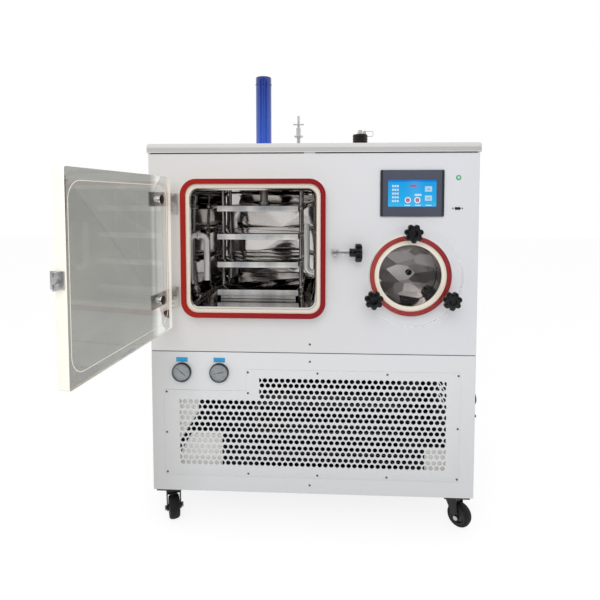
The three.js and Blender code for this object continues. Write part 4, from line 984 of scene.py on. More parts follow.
def louvred(name, blank, starts, length, count, outward, node):
    """A sheet with columns of slots, each under a hood open below; outward is +X, -X or +Y."""
    tree = Growth(name, {
        "Louvres": count, "Pitch": 0.024, "Slot": 0.008, "Length": length, "Hood": hood_proud})
    given = tree.given
    facing = Vector(outward).to_track_quat("Y", "Z").to_euler()
    cutter = tree.add("MeshCube", {"Size": tree.point(given["Length"], 0.012, given["Slot"])})
    dome = tree.add("MeshCylinder", {"Vertices": 24, "Radius": 1.0, "Depth": 1.0})
    outer = tree.shift(dome, Scale=tree.point(given["Hood"], given["Slot"] + 0.001, given["Length"] + 0.004))
    inner = tree.shift(dome, Scale=tree.point(given["Hood"] - 0.001, given["Slot"], given["Length"] + 0.002))
    crate = tree.add("MeshCube", {"Size": tree.point(0.04, 0.04, 2 * given["Length"])})
    inside = tree.shift(crate, Translation=(-0.0202, 0, 0))
    below = tree.shift(crate, Translation=(0, -0.02, 0))
    hood = tree.shift(tree.less(outer, inner, inside, below), Rotation=(pi / 2, 0, pi / 2),
                      Translation=tree.point(z=-0.5 * given["Slot"]))
    cuts, hoods = [], []
    for start in starts:
        line = tree.add("MeshLine", {
            "Count": given["Louvres"], "Start Location": start, "Offset": tree.point(z=given["Pitch"])})
        for thing, kept in ((cutter, cuts), (hood, hoods)):
            kept.append(tree.copies(line, thing, Rotation=tuple(facing)))
    slotted = tree.less(given["Geometry"], tree.add("RealizeInstances", {0: tree.joined(*cuts)}))
    placed(name, tree.run(tree.joined(slotted, *hoods), side_paint, as_mesh(blank)), side_paint,
           replaces=(node,), smooth=30)


rear = Box("rear_panel")
louvre_z = lower.low.z + 0.134
for side, outward in (("left", (-1, 0, 0)), ("right", (1, 0, 0))):
    flat = Box(f"{side}_side_panel")
    outer_x = flat.low.x if side == "left" else flat.high.x
    louvred(f"side_sheet_{side}", block(flat.low, flat.high, 0.0004),
            [(outer_x, (front_y + rear.high.y) / 2, louvre_z)], 0.300, 9, outward, f"{side}_side_panel")
    rows = [flat.low.z + 0.025, flat.middle.z, flat.high.z - 0.045]
    ends = (flat.low.y + 0.012, flat.high.y - 0.012)
    screws(f"side_screws_{side}", [(outer_x, y, z) for y in ends for z in rows], outward)
louvred("rear_sheet", folded_tray(rear.low, rear.high, rear.high.y, -1),
        [(x, rear.high.y, louvre_z - 0.01) for x in (-0.260, 0.260)], 0.320, 10, (0, 1, 0), "rear_panel")
screws("rear_screws", [(x, rear.high.y, z) for x in (-0.525, 0.0, 0.525)
                       for z in (rear.low.z + 0.03, 0.66, rear.high.z - 0.05)], (0, 1, 0))
gland_rubber = painted("gland_rubber", "1A1A1C", 0.6)
gland_at = (0, -0.0425, 0.447)
plug_at = (0, -0.0560, 0.392)
placed("side_gland", together(
    disc(0.0205, 0.5398, 0.5430, "x", gland_at), disc(0.0165, 0.5425, 0.5458, "x", gland_at, 0.0012),
    disc(0.0045, 0.5398, 0.5450, "x", plug_at, 0.001, 24)), gland_rubber)

# ---------------------------------------------------------------- upper front panel
# Folded steel sheet in white baked paint, cut out for the chamber, the trap with its three
# studs, and the touch panel.

collar = Box("chamber_collar")
chamber_x, chamber_z = collar.middle.x, collar.middle.z
trap = Box("trap_collar")
trap_x, trap_z = trap.middle.x, trap.middle.z
panel_box = Box("touch_panel")
stud_circle = 0.140
stud_angles = (90, 210, 330)
studs = [(trap_x + stud_circle * cos(radians(a)), trap_z + stud_circle * sin(radians(a)))
         for a in stud_angles]
stud_hole, trap_opening = 0.005, 0.108
upper_paint = painted("upper_panel_paint", "DAD9D7", 0.4)
# Painted light: the paint grows lighter and cooler towards the right.
across = (upper_paint.along("X") - upper.low.x) / upper.size.x
upper_paint.blend(across + 0.25 * upper_paint.noise(2.6, 3), "DEDCD8", "E2E3E8")
vessel_outline = rounded_rectangle(0.412, 0.392, 0.028)
placed("upper_panel", carve(
    folded_tray(upper.low, upper.high, front_y, 1),
    through(lambda inset: vessel_outline(-0.003), *through_front, (chamber_x, 0, chamber_z)),
    through(circle(trap_opening), *through_front, (trap_x, 0, trap_z)),
    through(rounded_rectangle(panel_box.size.x - 0.016, panel_box.size.z - 0.016, 0.002, 2), *through_front,
            (panel_box.middle.x, 0, panel_box.middle.z)),
    *(through(circle(stud_hole, 24), *through_front, (x, 0, z)) for x, z in studs),
), upper_paint, replaces=("upper_front_panel",))

# ---------------------------------------------------------------- touch panel
# Control screen in a dark grey plastic bezel that stands a little proud of the panel. The
# lit page shows rows of values, two round keys and two square icons on sky blue.

bezel_plastic = painted("bezel_plastic", "454853", 0.42)
px, pz = panel_box.middle.x, panel_box.middle.z
bezel_face = panel_box.low.y
bezel_rim = 0.0085
screen_width, screen_height = 0.154, 0.086
screen_gap = 0.0002
body_half_x, body_half_z = 0.092, 0.065
from_middle = abs(bezel_plastic.along("X") - px)
bezel_plastic.blend(from_middle > panel_box.size.x / 2 - bezel_rim, "4C5060", "2C2D36")
bezel = together(
    carve(stack(rounded_rectangle(panel_box.size.x, panel_box.size.z, 0.004, 6),
                soft_ends(bezel_face, front_y - 0.0003, 0.0012), "y", (px, 0, pz)),
          through(rounded_rectangle(screen_width, screen_height, 0.0015, 2),
                  bezel_face - 0.01, bezel_face + 0.0012, "y", (px, 0, pz))),
    block((px - body_half_x, front_y - 0.001, pz - body_half_z),
          (px + body_half_x, panel_box.high.y, pz + body_half_z), 0.002))
placed("touch_bezel", bezel, bezel_plastic, replaces=("touch_panel",))

page = Finish("touch_screen", colour("101418"), 0.2)
page_x = (page.along("X") - px) / screen_width
page_z = (page.along("Z") - pz) / screen_height


def patch(x, z, width, height):
    """1 inside a rectangle of the page, which runs from -0.5 to 0.5 both ways."""
    return (abs(page_x - x) < width / 2) * (abs(page_z - z) < height / 2)


def ring_mark(x, z, radius):
    far = (page_x - x) * (screen_width / screen_height)
    return page_x.math("SQRT", far * far + (page_z - z) * (page_z - z)) < radius


def keys(radius):
    return [ring_mark(x, -0.255, radius) for x in (-0.09, 0.107)]


values = [patch(-0.35 + 0.05 * (j - 1), z, 0.038, 0.075)
          for z in (0.27, 0.13, -0.01, -0.15, -0.29) for j in range(3)]
captions = [patch(-0.1 + 0.22 * j, -0.45, 0.12, 0.035) for j in range(3)]
picture = page.mix(page_z + 0.5, colour("2CBCFA"), colour("1CA6F2"))
for code, marks in (
        ("1483DC", [patch(0.0, 0.465, 1.0, 0.07)]),
        ("D4F0FC", [*values, patch(0.12, -0.06, 0.14, 0.07), *captions]),
        ("A85F7C", [patch(0.02, 0.28, 0.14, 0.08)]),
        ("BFE0F8", [patch(0.335, 0.16, 0.145, 0.2), patch(0.335, -0.18, 0.145, 0.2)]),
        ("8FC0EA", [patch(0.335, 0.15, 0.07, 0.06), patch(0.335, -0.19, 0.07, 0.06)]),
        ("EAF6FC", keys(0.115)), ("B4426C", keys(0.072)), ("F0A8C0", keys(0.026))):
    covered = marks[0]
    for mark in marks[1:]:
        covered = covered.math("MAXIMUM", covered, mark)
    picture = page.mix(covered, picture, colour(code))
page.wear(Emission_Color=picture, Emission_Strength=0.86)
screen_x, screen_z = screen_width / 2 - screen_gap, screen_height / 2 - screen_gap
placed("touch_screen", block((px - screen_x, bezel_face + 0.0006, pz - screen_z),
                             (px + screen_x, bezel_face + 0.0014, pz + screen_z), 0.0002),
       page)

# ---------------------------------------------------------------- lamp and data socket
# A green pilot lamp with a pale lens in its rim, and below it a small data socket in a black
# plate held by two screws. Both are screwed through the upper panel.

lamp_green = painted("lamp_green", "2FA36B", 0.3)
lamp_green.wear(Emission_Color=colour("3FB57C"), Emission_Strength=0.15)
lamp_at = (0.4727, 0, 1.1780)
placed("lamp_rim", lathe([(radius, front_y - proud) for radius, proud in (
    (0.0045, 0.0012), (0.0052, 0.0022), (0.0074, 0.0020), (0.0082, 0.0008), (0.0082, 0), (0.0045, 0))],
    "y", lamp_at, closed=True, steps=48), lamp_green)
lamp_lens = painted("lamp_lens", "BFE8CF", 0.2)
placed("lamp_lens", disc(0.0047, front_y - 0.0030, front_y, "y", lamp_at, 0.0014, 32), lamp_lens)
socket_black = painted("socket_plastic", "26272B", 0.45)
socket_x, socket_z = 0.471, 1.0792
socket_at = (socket_x, 0, socket_z)
socket = carve(
    stack(rounded_rectangle(0.0185, 0.0085, 0.003, 4), soft_ends(front_y - 0.0022, front_y, 0.0006), "y",
          socket_at),
    through(rounded_rectangle(0.0125, 0.0045, 0.0008, 2), front_y - 0.01, front_y - 0.0008, "y", socket_at))
placed("data_socket", socket, socket_black)
screws("socket_screws", [(socket_x + x, front_y, socket_z) for x in (-0.015, 0.015)], head=0.0026)

# ---------------------------------------------------------------- chamber
# Welded box of polished stainless steel with rounded corners, stiffened by two ribs and
# standing on legs. Its front edge comes out through a cream collar that carries the gasket.


def ring_of(outer, inner, low, high, edge, axis="y", at=(0, 0, 0), steps=3):
    """A ring between two outlines, its four rims rounded."""
    profile = soft_ends(low, high, edge, steps)
    loops = [[set_up(p, level, axis, at) for p in outer(inset)] for inset, level in profile]
    loops += [[set_up(p, level, axis, at) for p in inner(-inset)] for inset, level in profile[::-1]]
    return loft(loops, closed=True)


def fitted(node, finish, body="root", edge=0.0008, steps=2):
    """A CAD node's shape with softened edges, in its place."""
    return placed(f"{node}_visual", softened(node, edge, steps), finish, body, (node,))


def steel(name, code, roughness, wave=0.0, wave_scale=8.0, grain=(1, 1, 1)):
    """Stainless steel: polished or brushed, with a slow wave in the sheet."""
    made = Finish(name, colour(code), roughness, 1.0)
    cloud = made.noise(5, 4)
    made.wear(Base_Color=made.mix(cloud, colour(code, 0.86), colour(code, 1.08)),
              Roughness=roughness + 0.08 * made.noise(90, 4, grain) * (cloud + 0.3))
    if wave:
        made.bumps(made.noise(wave_scale, 2), wave)
    return made


vessel = Box("chamber_vessel")
mirror_steel = steel("polished_steel", "CBC7C4", 0.035, 0.0009, 7)
bright_steel = steel("bright_steel", "E2E1DF", 0.28, 0.0006, 30, (1, 1, 8))
bright_steel.wear(Metallic=0.5 + 0.3 * bright_steel.noise(7, 2))
shelf_steel = steel("shelf_steel", "C2BFBC", 0.07, 0.0008, 12)
brushed_edge = Finish("brushed_edge", colour("DCDCDC"), 0.34)
brushed_edge.blend(2.4 * brushed_edge.noise(15, 2, (1, 0.3, 0.3)) - 0.7, "9EA3AC", "FAF7F1")
brushed_edge.wear(Metallic=0.25 + 0.35 * brushed_edge.noise(22, 2, (1, 0.3, 0.3)),
                  Roughness=0.26 + 0.16 * brushed_edge.noise(200, 3, (0.1, 1, 1)))
satin_steel = steel("satin_steel", "C6C6C6", 0.28)
satin_steel.wear(Metallic=0.75 + 0.2 * satin_steel.noise(9, 2))
wall = 0.006
chamber_width, chamber_height = 0.400, 0.380
chamber_back = front_y + 0.500
lip_front = vessel.low.y
middle = (chamber_x, 0, chamber_z)
inside_outline = rounded_rectangle(chamber_width, chamber_height, 0.022)
outer_skin = stack(vessel_outline, soft_ends(lip_front, chamber_back + wall, 0.0015), "y", middle)
hollow = stack(inside_outline, [
    (0, lip_front - 0.01), (0, chamber_back - 0.012), (0.0035, chamber_back - 0.0035),
    (0.012, chamber_back)], "y", middle)
port = (chamber_x + 0.024, 0, chamber_z - 0.100)
port_radius = 0.039
press = Box("ram_rod")
press_x, press_y = press.middle.x, press.middle.y
pipe_y = Box("oil_pipe_left").middle.y
pipe_radius = 0.0105
left_pipe_z, right_pipe_z = chamber_z + 0.036, chamber_z - 0.090
pipe_hole = circle(pipe_radius + 0.0003, 24)
shell = carve(
    carve(outer_skin, hollow),
    through(circle(port_radius), chamber_back - 0.02, chamber_back + 0.02, "y", port),
    through(circle(0.019, 32), chamber_z, chamber_z + 0.3, "z", (press_x, press_y, 0)),
    through(pipe_hole, chamber_x - 0.23, chamber_x - 0.18, "x", (0, pipe_y, left_pipe_z)),
    through(pipe_hole, chamber_x + 0.18, chamber_x + 0.23, "x", (0, pipe_y, right_pipe_z)))
rib_places = (0.140, 0.420)
rib_thick = 0.008
leg_offset, leg_half, foot_thick = 0.166, 0.02, 0.005
rib_outline = rounded_rectangle(0.472, 0.452, 0.028)
ribs = [ring_of(rib_outline, lambda inset: vessel_outline(inset + 0.001), front_y + y,
                front_y + y + rib_thick, 0.0006, "y", middle) for y in rib_places]
nozzle = ring_of(circle(port_radius + 0.003), circle(port_radius), chamber_back + wall - 0.001, vessel.high.y,
                 0.0005, "y", port)
legs = []
for side in (-1, 1):
    for y in rib_places:
        left, leg_y = chamber_x + side * leg_offset - leg_half, front_y + y
        right = left + 2 * leg_half
        legs += [block((left, leg_y, vessel.low.z), (right, leg_y + rib_thick, chamber_z - 0.197), 0.0006),
                 block((left, leg_y - 0.020, vessel.low.z),
                       (right, leg_y + 0.028, vessel.low.z + foot_thick), 0.0006)]
placed("chamber_shell", together(shell, *ribs, nozzle, *legs), mirror_steel,
       replaces=("chamber_vessel",), smooth=35)

# ---------------------------------------------------------------- collar and door gasket
# Cream plastic collar round the chamber's mouth, and on it a flat red silicone gasket with
# rounded front edges that the door presses on.

gasket = Box("door_gasket")
cream = painted("cream_plastic", "F6F0E0", 0.42)
seal_corner = 0.053
seal_outline = rounded_rectangle(collar.size.x, collar.size.z, seal_corner, 14)
placed("collar_ring", ring_of(
    seal_outline, rounded_rectangle(0.4126, 0.3926, 0.0283, 14), collar.low.y, collar.high.y, 0.002, "y",
    middle), cream, replaces=("chamber_collar",))


def silicone(name, left, right, x):
    """Red silicone rubber, its red shifting slowly across the part."""
    made = Finish(name, colour(left), 0.42, Specular_IOR_Level=0.25)
    made.blend((made.along("X") - x) / 0.45 + 0.35 * made.noise(14, 3), left, right)
    made.wear(Roughness=0.36 + 0.2 * made.noise(60, 4))
    made.bumps(made.noise(500, 3), 0.00004)
    return made


gasket_red = silicone("door_silicone", "A81E10", "8E121C", gasket.low.x)
band = 0.0165
placed("gasket_ring", ring_of(
    seal_outline,
    rounded_rectangle(gasket.size.x - 2 * band, gasket.size.z - 2 * band, seal_corner - band, 14),
    gasket.low.y, gasket.high.y, 0.003, "y", middle, 4),
    gasket_red, replaces=("door_gasket",))

# ---------------------------------------------------------------- shelves and press
# Four heated shelves of bright stainless steel with ears that slide on four guide rods, each
# held by nuts. A piston rod through the chamber's roof presses them together.


def with_bright_front(piece):
    """Gives the faces that look forward the brushed finish of a sawn edge."""
    piece.data.materials.append(brushed_edge.material)
    for face in piece.data.polygons:
        face.material_index = 1 if face.normal.y < -0.9 and face.area > 0.0005 else 0


moving_shelves = ((1, "press"), (2, "shelf_2"), (3, "shelf_3"))
for number, body in moving_shelves:
    with_bright_front(fitted(f"shelf_{number}", shelf_steel, body, 0.0008))
with_bright_front(fitted("bottom_shelf_rack", shelf_steel, edge=0.0006))
rack = Box("bottom_shelf_rack")
plinth = block((rack.low.x + 0.026, rack.low.y + 0.010, rack.low.z + 0.0006),
               (rack.high.x - 0.026, rack.high.y - 0.02, rack.low.z + 0.0135), 0.001)
with_bright_front(placed("shelf_plinth", plinth, shelf_steel))
rod_x, rod_y = 0.145, 0.070
rods = [(chamber_x + x, press_y + y) for x in (-rod_x, rod_x) for y in (-rod_y, rod_y)]


def nuts(name, places, body):
    """Hexagon nuts round the guide rods, with rounded corners."""
    tree = Growth(name, {"Radius": 0.0115, "Height": 0.0036, "Bore": 0.0065})
    given = tree.given
    prism = tree.add("MeshCylinder", {
        "Vertices": 6, "Radius": given["Radius"], "Depth": given["Height"]})
    round_off = tree.add("MeshCone", {
        "Vertices": 32, "Radius Top": 0.9 * given["Radius"], "Radius Bottom": 1.15 * given["Radius"],
        "Depth": given["Height"]})
    round_off = tree.shift(round_off, Translation=tree.point(z=-0.5 * given["Height"]))
    hole = tree.add("MeshCylinder", {"Vertices": 24, "Radius": given["Bore"], "Depth": 0.03})
    nut = tree.less(tree.solids("INTERSECT", prism, round_off), hole)
    placed(name, tree.run(tree.copies(given["Geometry"], nut), satin_steel, places=places), satin_steel,
           body)


for number, body in moving_shelves:
    ear = Box(f"shelf_{number}")
    nuts(f"shelf_nuts_{number}", [(x, y, ear.high.z - 0.0022) for x, y in rods], body)
fitted("ram_rod", bright_steel, "press", 0.0012)

# ---------------------------------------------------------------- oil pipes
# Two bent stainless pipes that will take the hoses to the shelves: the left one turns down
# from the wall, the right one rises from it. Each has a welded flange at the wall.

run_x = chamber_width / 2 - 0.028
for side, sign, wall_z, end_z in (("left", -1, left_pipe_z, -0.118), ("right", 1, right_pipe_z, 0.077)):
    x = chamber_x + sign * run_x
    wall_x = chamber_x + sign * chamber_width / 2
    path = bent([(wall_x + sign * 0.040, pipe_y, wall_z), (x, pipe_y, wall_z),
                 (x, pipe_y, chamber_z + end_z)], 0.022, 10)
    face = wall_x - sign * 0.0003
    low_x, high_x = sorted((face, face - sign * 0.004))
    flange = ring_of(circle(pipe_radius + 0.006, 40), circle(pipe_radius - 0.0003, 40), low_x, high_x,
                     0.0008, "x", (0, pipe_y, wall_z))
    placed(f"oil_pipe_{side}_tube", together(tube(path, pipe_radius, pipe_radius - 0.002, 28), flange),
           bright_steel, replaces=(f"oil_pipe_{side}",))

# ---------------------------------------------------------------- door
# Slab of clear acrylic, cut square with its edges left milky, and with a shallow groove run
# round its inner face. Held by two bolts through its hinge straps; a steel strike at its end.

hinge = Vector((*joints["door_hinge"]["pos_m"][:2], Box("door_pane").middle.z))
door_turn = radians(-96.5)
door_place = Matrix.Translation(hinge) @ Matrix.Rotation(door_turn, 4, "Z")
pane_start, pane_end = 0.011, 0.525
pane_outer, pane_inner = -0.0143, 0.0137
pane_height = Box("door_pane").size.z
pane_middle = ((pane_start + pane_end) / 2, 0, 0)
pane_width = pane_end - pane_start
bolt_x = pane_start + 0.065
bolt_levels = {"upper": 0.171, "lower": -0.139}
strap_hole = 0.0113
edge_band = 0.006


def clear_plastic(name, code, ior):
    """Polished acrylic that lets the lamps' light through to what stands behind it."""
    made = Finish(name, colour(code), 0.02, Transmission_Weight=1.0, IOR=ior)
    rays = made.add("LightPath", out="Is Shadow Ray")
    rays = rays.math("MAXIMUM", rays, rays.other("Is Diffuse Ray"))
    open_way = made.add("BsdfTransparent", {"Color": (1, 1, 1, 1)})
    solid = Wire(made, made.shader.outputs["BSDF"])
    made.put(made.nodes["Material Output"].inputs["Surface"],
             made.add("MixShader", {0: rays, 1: solid, 2: open_way}))
    return made


acrylic = clear_plastic("clear_acrylic", "A0A39E", 1.47)
# Painted reflection: the pane's grey tint stands for the room reflected in it, left clear near the hinge.
reflection_noise = acrylic.noise(3, 3, (1, 1, 2))
reflection_from_hinge = (hinge.y - 0.105 - acrylic.along("Y")) / 0.02
painted_reflection_grey = acrylic.mix(reflection_noise, colour("8F938F"), colour("B4B2AC"))
acrylic.wear(Base_Color=acrylic.mix(reflection_from_hinge, colour("EFF1EF"), painted_reflection_grey),
             Roughness=0.02 + 0.05 * acrylic.noise(8, 5))
milky_glowing_edge = Finish("milky_edge", colour("F4EFE6"), 0.55)
milky_glowing_edge.blend(milky_glowing_edge.noise(20, 3), "F1EADE", "F9F4EB")
# The milky edges also glow faintly: painted light.
milky_glowing_edge.wear(Emission_Color=colour("F4EDE0"), Emission_Strength=0.17)
slab = stack(rounded_rectangle(pane_width, pane_height, edge_band, 6),
             soft_ends(pane_outer, pane_inner, 0.0012, 3), "y", pane_middle)
groove_outline = rounded_rectangle(pane_width - 0.038, pane_height - 0.056, 0.045, 14)
groove_middle = (pane_middle[0] + 0.010, 0, 0)
groove = ring_of(groove_outline, lambda inset: groove_outline(inset + 0.0018), pane_inner - 0.0012,
                 pane_inner + 0.004, 0.0002, "y", groove_middle, 1)
slab = carve(slab, groove, *(through(circle(strap_hole, 40), -0.03, 0.03, "y", (bolt_x, 0, z))
                             for z in bolt_levels.values()))
pane = placed("door_slab", moved(slab, door_place), acrylic, "door", ("door_pane",), 30)
pane.data.materials.append(milky_glowing_edge.material)
to_door = door_place.inverted()
for polygon in pane.data.polygons:
    centre = to_door @ polygon.center
    facing = to_door.to_3x3() @ polygon.normal
    from_end = min(centre.x - pane_start, pane_end - centre.x)
    from_level = pane_height / 2 - abs(centre.z)
    at_rim = min(from_end, from_level) < 0.001 or max(from_end, from_level) < edge_band
    in_groove = pane_inner - 0.002 < centre.y < pane_inner - 0.0001 and abs(centre.x - bolt_x) > 0.02
    if (at_rim or in_groove) and abs(facing.y) < 0.75 or in_groove and centre.y < pane_inner - 0.001:
        polygon.material_index = 1

# ---------------------------------------------------------------- hinges and strike
# Two hinges of stainless steel: a strap bolted through the pane, its bolt capped in black
# inside, and a base plate with ears screwed to the panel. The strike at the door's free end
# takes the swing bolt; a rubber stop stands on the panel below the hinges.

cap_plastic = painted("cap_plastic", "151518", 0.35)
hinge_steel = steel("hinge_steel", "D8D7D5", 0.3)
hinge_steel.wear(Metallic=0.55 + 0.35 * hinge_steel.noise(20, 2))
for level, z in bolt_levels.items():
    fitted(f"hinge_arm_{level}", hinge_steel, "door", 0.001, 3)
    fitted(f"hinge_base_{level}", hinge_steel, edge=0.001, steps=3)
    cap = disc(0.014, pane_inner + 0.0002, pane_inner + 0.0030, "y", (bolt_x, 0, z), 0.0012)
    placed(f"hinge_cap_{level}", moved(cap, door_place), cap_plastic, "door")
    base = Box(f"hinge_base_{level}")
    screws(f"hinge_screws_{level}",
           [(-0.462, front_y - 0.0053, base.low.z + rise) for rise in (0.012, 0.034)],
           head=0.0042, finish=satin_steel)
fitted("door_strike", satin_steel, "door", 0.0008, 3)
strike_screws = [door_place @ Vector((pane_end + 0.0043, -0.0105, z)) for z in (-0.013, 0.013)]
screws("strike_screws", strike_screws, tuple(door_place.to_3x3() @ Vector((1, 0, 0))), 0.0036, "door",
       satin_steel)
stop_rubber = painted("stop_rubber", "131315", 0.6)
stop_x, stop_z = -0.507, 0.7258
stop = lathe([(radius, front_y - proud) for radius, proud in (
    (0.0, 0.0), (0.0130, 0.0), (0.0130, 0.004), (0.0115, 0.0085), (0.0090, 0.0100), (0.0045, 0.0100),
    (0.0040, 0.0070), (0.0, 0.0070))], "y", (stop_x, 0, stop_z), steps=40)
placed("door_stop", stop, stop_rubber)
screws("stop_screws", [(stop_x + 0.016, front_y, stop_z), (-0.466, front_y, 0.7448)], head=0.0036,
       finish=satin_steel)

# ---------------------------------------------------------------- latch
# Swing bolt of stainless steel on a slotted block at the panel; its star knob of black
# plastic is screwed down on the door's strike to hold it shut.

fitted("latch_clevis", hinge_steel, edge=0.0006)
threaded = steel("threaded_steel", "C4C4C4", 0.24)
threads = threaded.add("TexWave", {"Vector": threaded.place, "Scale": 260.0}, bands_direction="X")
threaded.bumps(threads, 0.0004)
fitted("swing_bolt", threaded, "swing_bolt", 0.0006)
bakelite = painted("star_plastic", "09090E", 0.22, 0.00002, 0.1, Specular_IOR_Level=0.35)
star_radius, star_thick, star_hub = 0.030, 0.022, 0.0135
lobes = 7
star_turns = [2 * pi * i / (14 * lobes) for i in range(14 * lobes)]


def star_knob(hub):
    """Seven-lobed knob standing on +Z: its hub, the star, and a hollow in the crown."""
    def ring(radius, level, dip=0.0):
        reaches = [radius - dip * ((1 - cos(lobes * turned)) / 2) ** 2 for turned in star_turns]
        return [Vector((reach * cos(turned), reach * sin(turned), level))
                for reach, turned in zip(reaches, star_turns)]

    top = hub + star_thick
    rings = [ring(radius, level) for radius, level in (
        (0.0045, 0.0), (star_hub - 0.0008, 0.0), (star_hub, 0.0008), (star_hub, hub))]
    rings += [ring(star_radius - inset, level, 0.0064) for inset, level in (
        (0.0042, hub + 0.0006), (0.0016, hub + 0.0018), (0.0004, hub + 0.0038), (0.0, hub + 0.006),
        (0.0, top - 0.006), (0.0005, top - 0.0036), (0.0018, top - 0.0016), (0.0042, top - 0.0004),
        (0.0075, top))]
    rings += [ring(radius, top - depth) for radius, depth in (
        (0.0118, 0.0002), (0.0112, 0.0012), (0.0106, 0.0052), (0.0055, 0.0056), (0.0050, 0.0050))]
    return loft(rings)


knob = Box("latch_knob")
knob_place = Matrix.Translation((knob.low.x, knob.middle.y, Box("swing_bolt").middle.z))
placed("latch_star", moved(star_knob(0.018), knob_place @ Matrix.Rotation(pi / 2, 4, "Y")), bakelite,
       "latch_knob", ("latch_knob",), 50)

# ---------------------------------------------------------------- cold trap
# Round pot of polished stainless steel with a steel baffle across it, closed by a clear
# acrylic disc on a red gasket. Three star knobs on welded studs hold the disc.

pot_front, pot_back = front_y - 0.0077, front_y + 0.425
pot_radius, pot_bore, duct_radius = 0.105, 0.100, 0.0445
pot_middle = (trap_x, 0, trap_z)
trap_box = Box("trap_vessel")
pot = lathe((
    (pot_bore, pot_front), (pot_radius, pot_front), (pot_radius, pot_back - 0.004),
    (pot_radius - 0.004, pot_back), (duct_radius, pot_back), (duct_radius, trap_box.high.y),
    (duct_radius - 0.003, trap_box.high.y), (duct_radius - 0.003, pot_back - 0.005),
    (pot_bore - 0.012, pot_back - 0.005), (pot_bore - 0.0035, pot_back - 0.0085),
    (pot_bore, pot_back - 0.017)), "y", pot_middle, closed=True, steps=96)
window = Box("trap_window")
stud_front = trap_box.low.y
stud_bars, ears = [], []
ear_front, ear_back = front_y + 0.0023, front_y + 0.0083
for angle, (x, z) in zip(stud_angles, studs):
    stud_bars.append(disc(0.004, stud_front, ear_back, "y", (x, 0, z), 0.0008, 24))
    ear = block((0.102, ear_front, -0.012), (0.155, ear_back, 0.012), 0.001)
    ears.append(moved(ear, Matrix.Translation(pot_middle) @ Matrix.Rotation(radians(-angle), 4, "Y")))
foot = block((trap_x - 0.06, front_y + 0.300, trap_box.low.z),
             (trap_x + 0.06, front_y + 0.330, trap_z - 0.093), 0.001)
placed("trap_pot", together(pot, *stud_bars, *ears, foot), mirror_steel, replaces=("trap_vessel",),
       smooth=35)

seal_radius = 0.130
trap_gasket = Box("trap_gasket")
collar_skin = lathe((
    (pot_bore, trap.low.y + 0.001), (pot_bore + 0.001, trap.low.y), (seal_radius - 0.001, trap.low.y),
    (seal_radius, trap.low.y + 0.001), (seal_radius, trap.high.y), (0.1053, trap.high.y),
    (0.1053, trap.low.y + 0.006), (pot_bore, trap.low.y + 0.006)), "y", pot_middle, closed=True, steps=96)
placed("trap_collar_ring", collar_skin, cream, replaces=("trap_collar",))
# Partly painted reflection: the lighter pink towards the left stands for a sheen on the rubber; the deep red
# at the right is its own colour.
trap_red = silicone("trap_silicone", "B04A46", "840C1A", trap_x - 0.2)
placed("trap_gasket_ring", ring_of(
    circle(seal_radius, 96), circle(seal_radius - 0.015, 96), trap_gasket.low.y, trap_gasket.high.y,
    0.0022, "y", pot_middle), trap_red, replaces=("trap_gasket",))

# Painted reflections: the baffle's dark and bright patches of colour stand for what it reflects; its leaning
# normals are a real crumple.
crumpled_and_reflecting = Finish("crumpled_steel_painted_reflections", colour("8E8A8A"), 0.12, 1.0)
at = crumpled_and_reflecting.add("VectorMath", {0: crumpled_and_reflecting.place, 1: (1.0, 1.0, 1.9)}, operation="MULTIPLY")
at = crumpled_and_reflecting.add("VectorRotate", {"Vector": at, "Angle": 0.7}, rotation_type="Y_AXIS")
cells = crumpled_and_reflecting.add("TexVoronoi", {"Vector": at, "Scale": 16.0, "Randomness": 1.0}, out=1)
lean = crumpled_and_reflecting.add("VectorMath", {0: cells, 1: (-0.5, -0.5, -0.5)}, operation="ADD")
lean = crumpled_and_reflecting.add("VectorMath", {0: lean, 3: 0.3}, operation="SCALE")
upright = crumpled_and_reflecting.add("NewGeometry", out="Normal")
lean = crumpled_and_reflecting.add("VectorMath", {0: lean, 1: upright}, operation="ADD")
lean = crumpled_and_reflecting.add("VectorMath", {0: lean}, operation="NORMALIZE")
painted_reflections = crumpled_and_reflecting.add("ValToRGB", {"Fac": cells + 0.12 * (crumpled_and_reflecting.noise(30, 3) - 0.5)}, stops=[
    (position, colour(code)) for position, code in (
        (0.0, "161414"), (0.22, "1E1C1C"), (0.3, "4E4A4A"), (0.55, "767170"), (0.8, "8C8786"),
        (0.92, "DCDBDA"))])
crumpled_and_reflecting.wear(Normal=lean, Base_Color=painted_reflections, Roughness=0.22 + 0.16 * crumpled_and_reflecting.noise(20, 3))
baffle = Box("trap_baffle")
plate = carve(disc(baffle.size.x / 2, baffle.low.y, baffle.high.y, "y", pot_middle, 0.0006, 96),
              through(circle(0.011, 40), baffle.low.y - 0.01, baffle.high.y + 0.01, "y",
                      (trap_x + 0.008, 0, trap_z)))
placed("trap_baffle_plate", plate, crumpled_and_reflecting, replaces=("trap_baffle",))

clear_disc = clear_plastic("window_acrylic", "FCFDFD", 1.16)
clear_disc.blend(clear_disc.noise(4, 3), "FBFCFB", "FFFFFF")
clear_disc.wear(Roughness=0.01 + 0.03 * clear_disc.noise(9, 4))
window_radius = 0.161
disc_skin = carve(disc(window_radius, window.low.y, window.high.y, "y", pot_middle, 0.0015, 128),
                  *(through(circle(0.0044, 24), window.low.y - 0.01, window.high.y + 0.01, "y", (x, 0, z))
                    for x, z in studs))
placed("trap_window_disc", disc_skin, clear_disc, replaces=("trap_window",))
for name, (x, z) in zip(("top", "left", "right"), studs):
    to_front = Matrix.Translation((x, window.low.y - 0.0003, z)) @ Matrix.Rotation(-pi / 2, 4, "Z")
    placed(f"trap_star_{name}", moved(star_knob(0.010), to_front @ Matrix.Rotation(pi / 2, 4, "Y")), bakelite,
           f"trap_knob_{name}", (f"trap_knob_{name}",), 50)

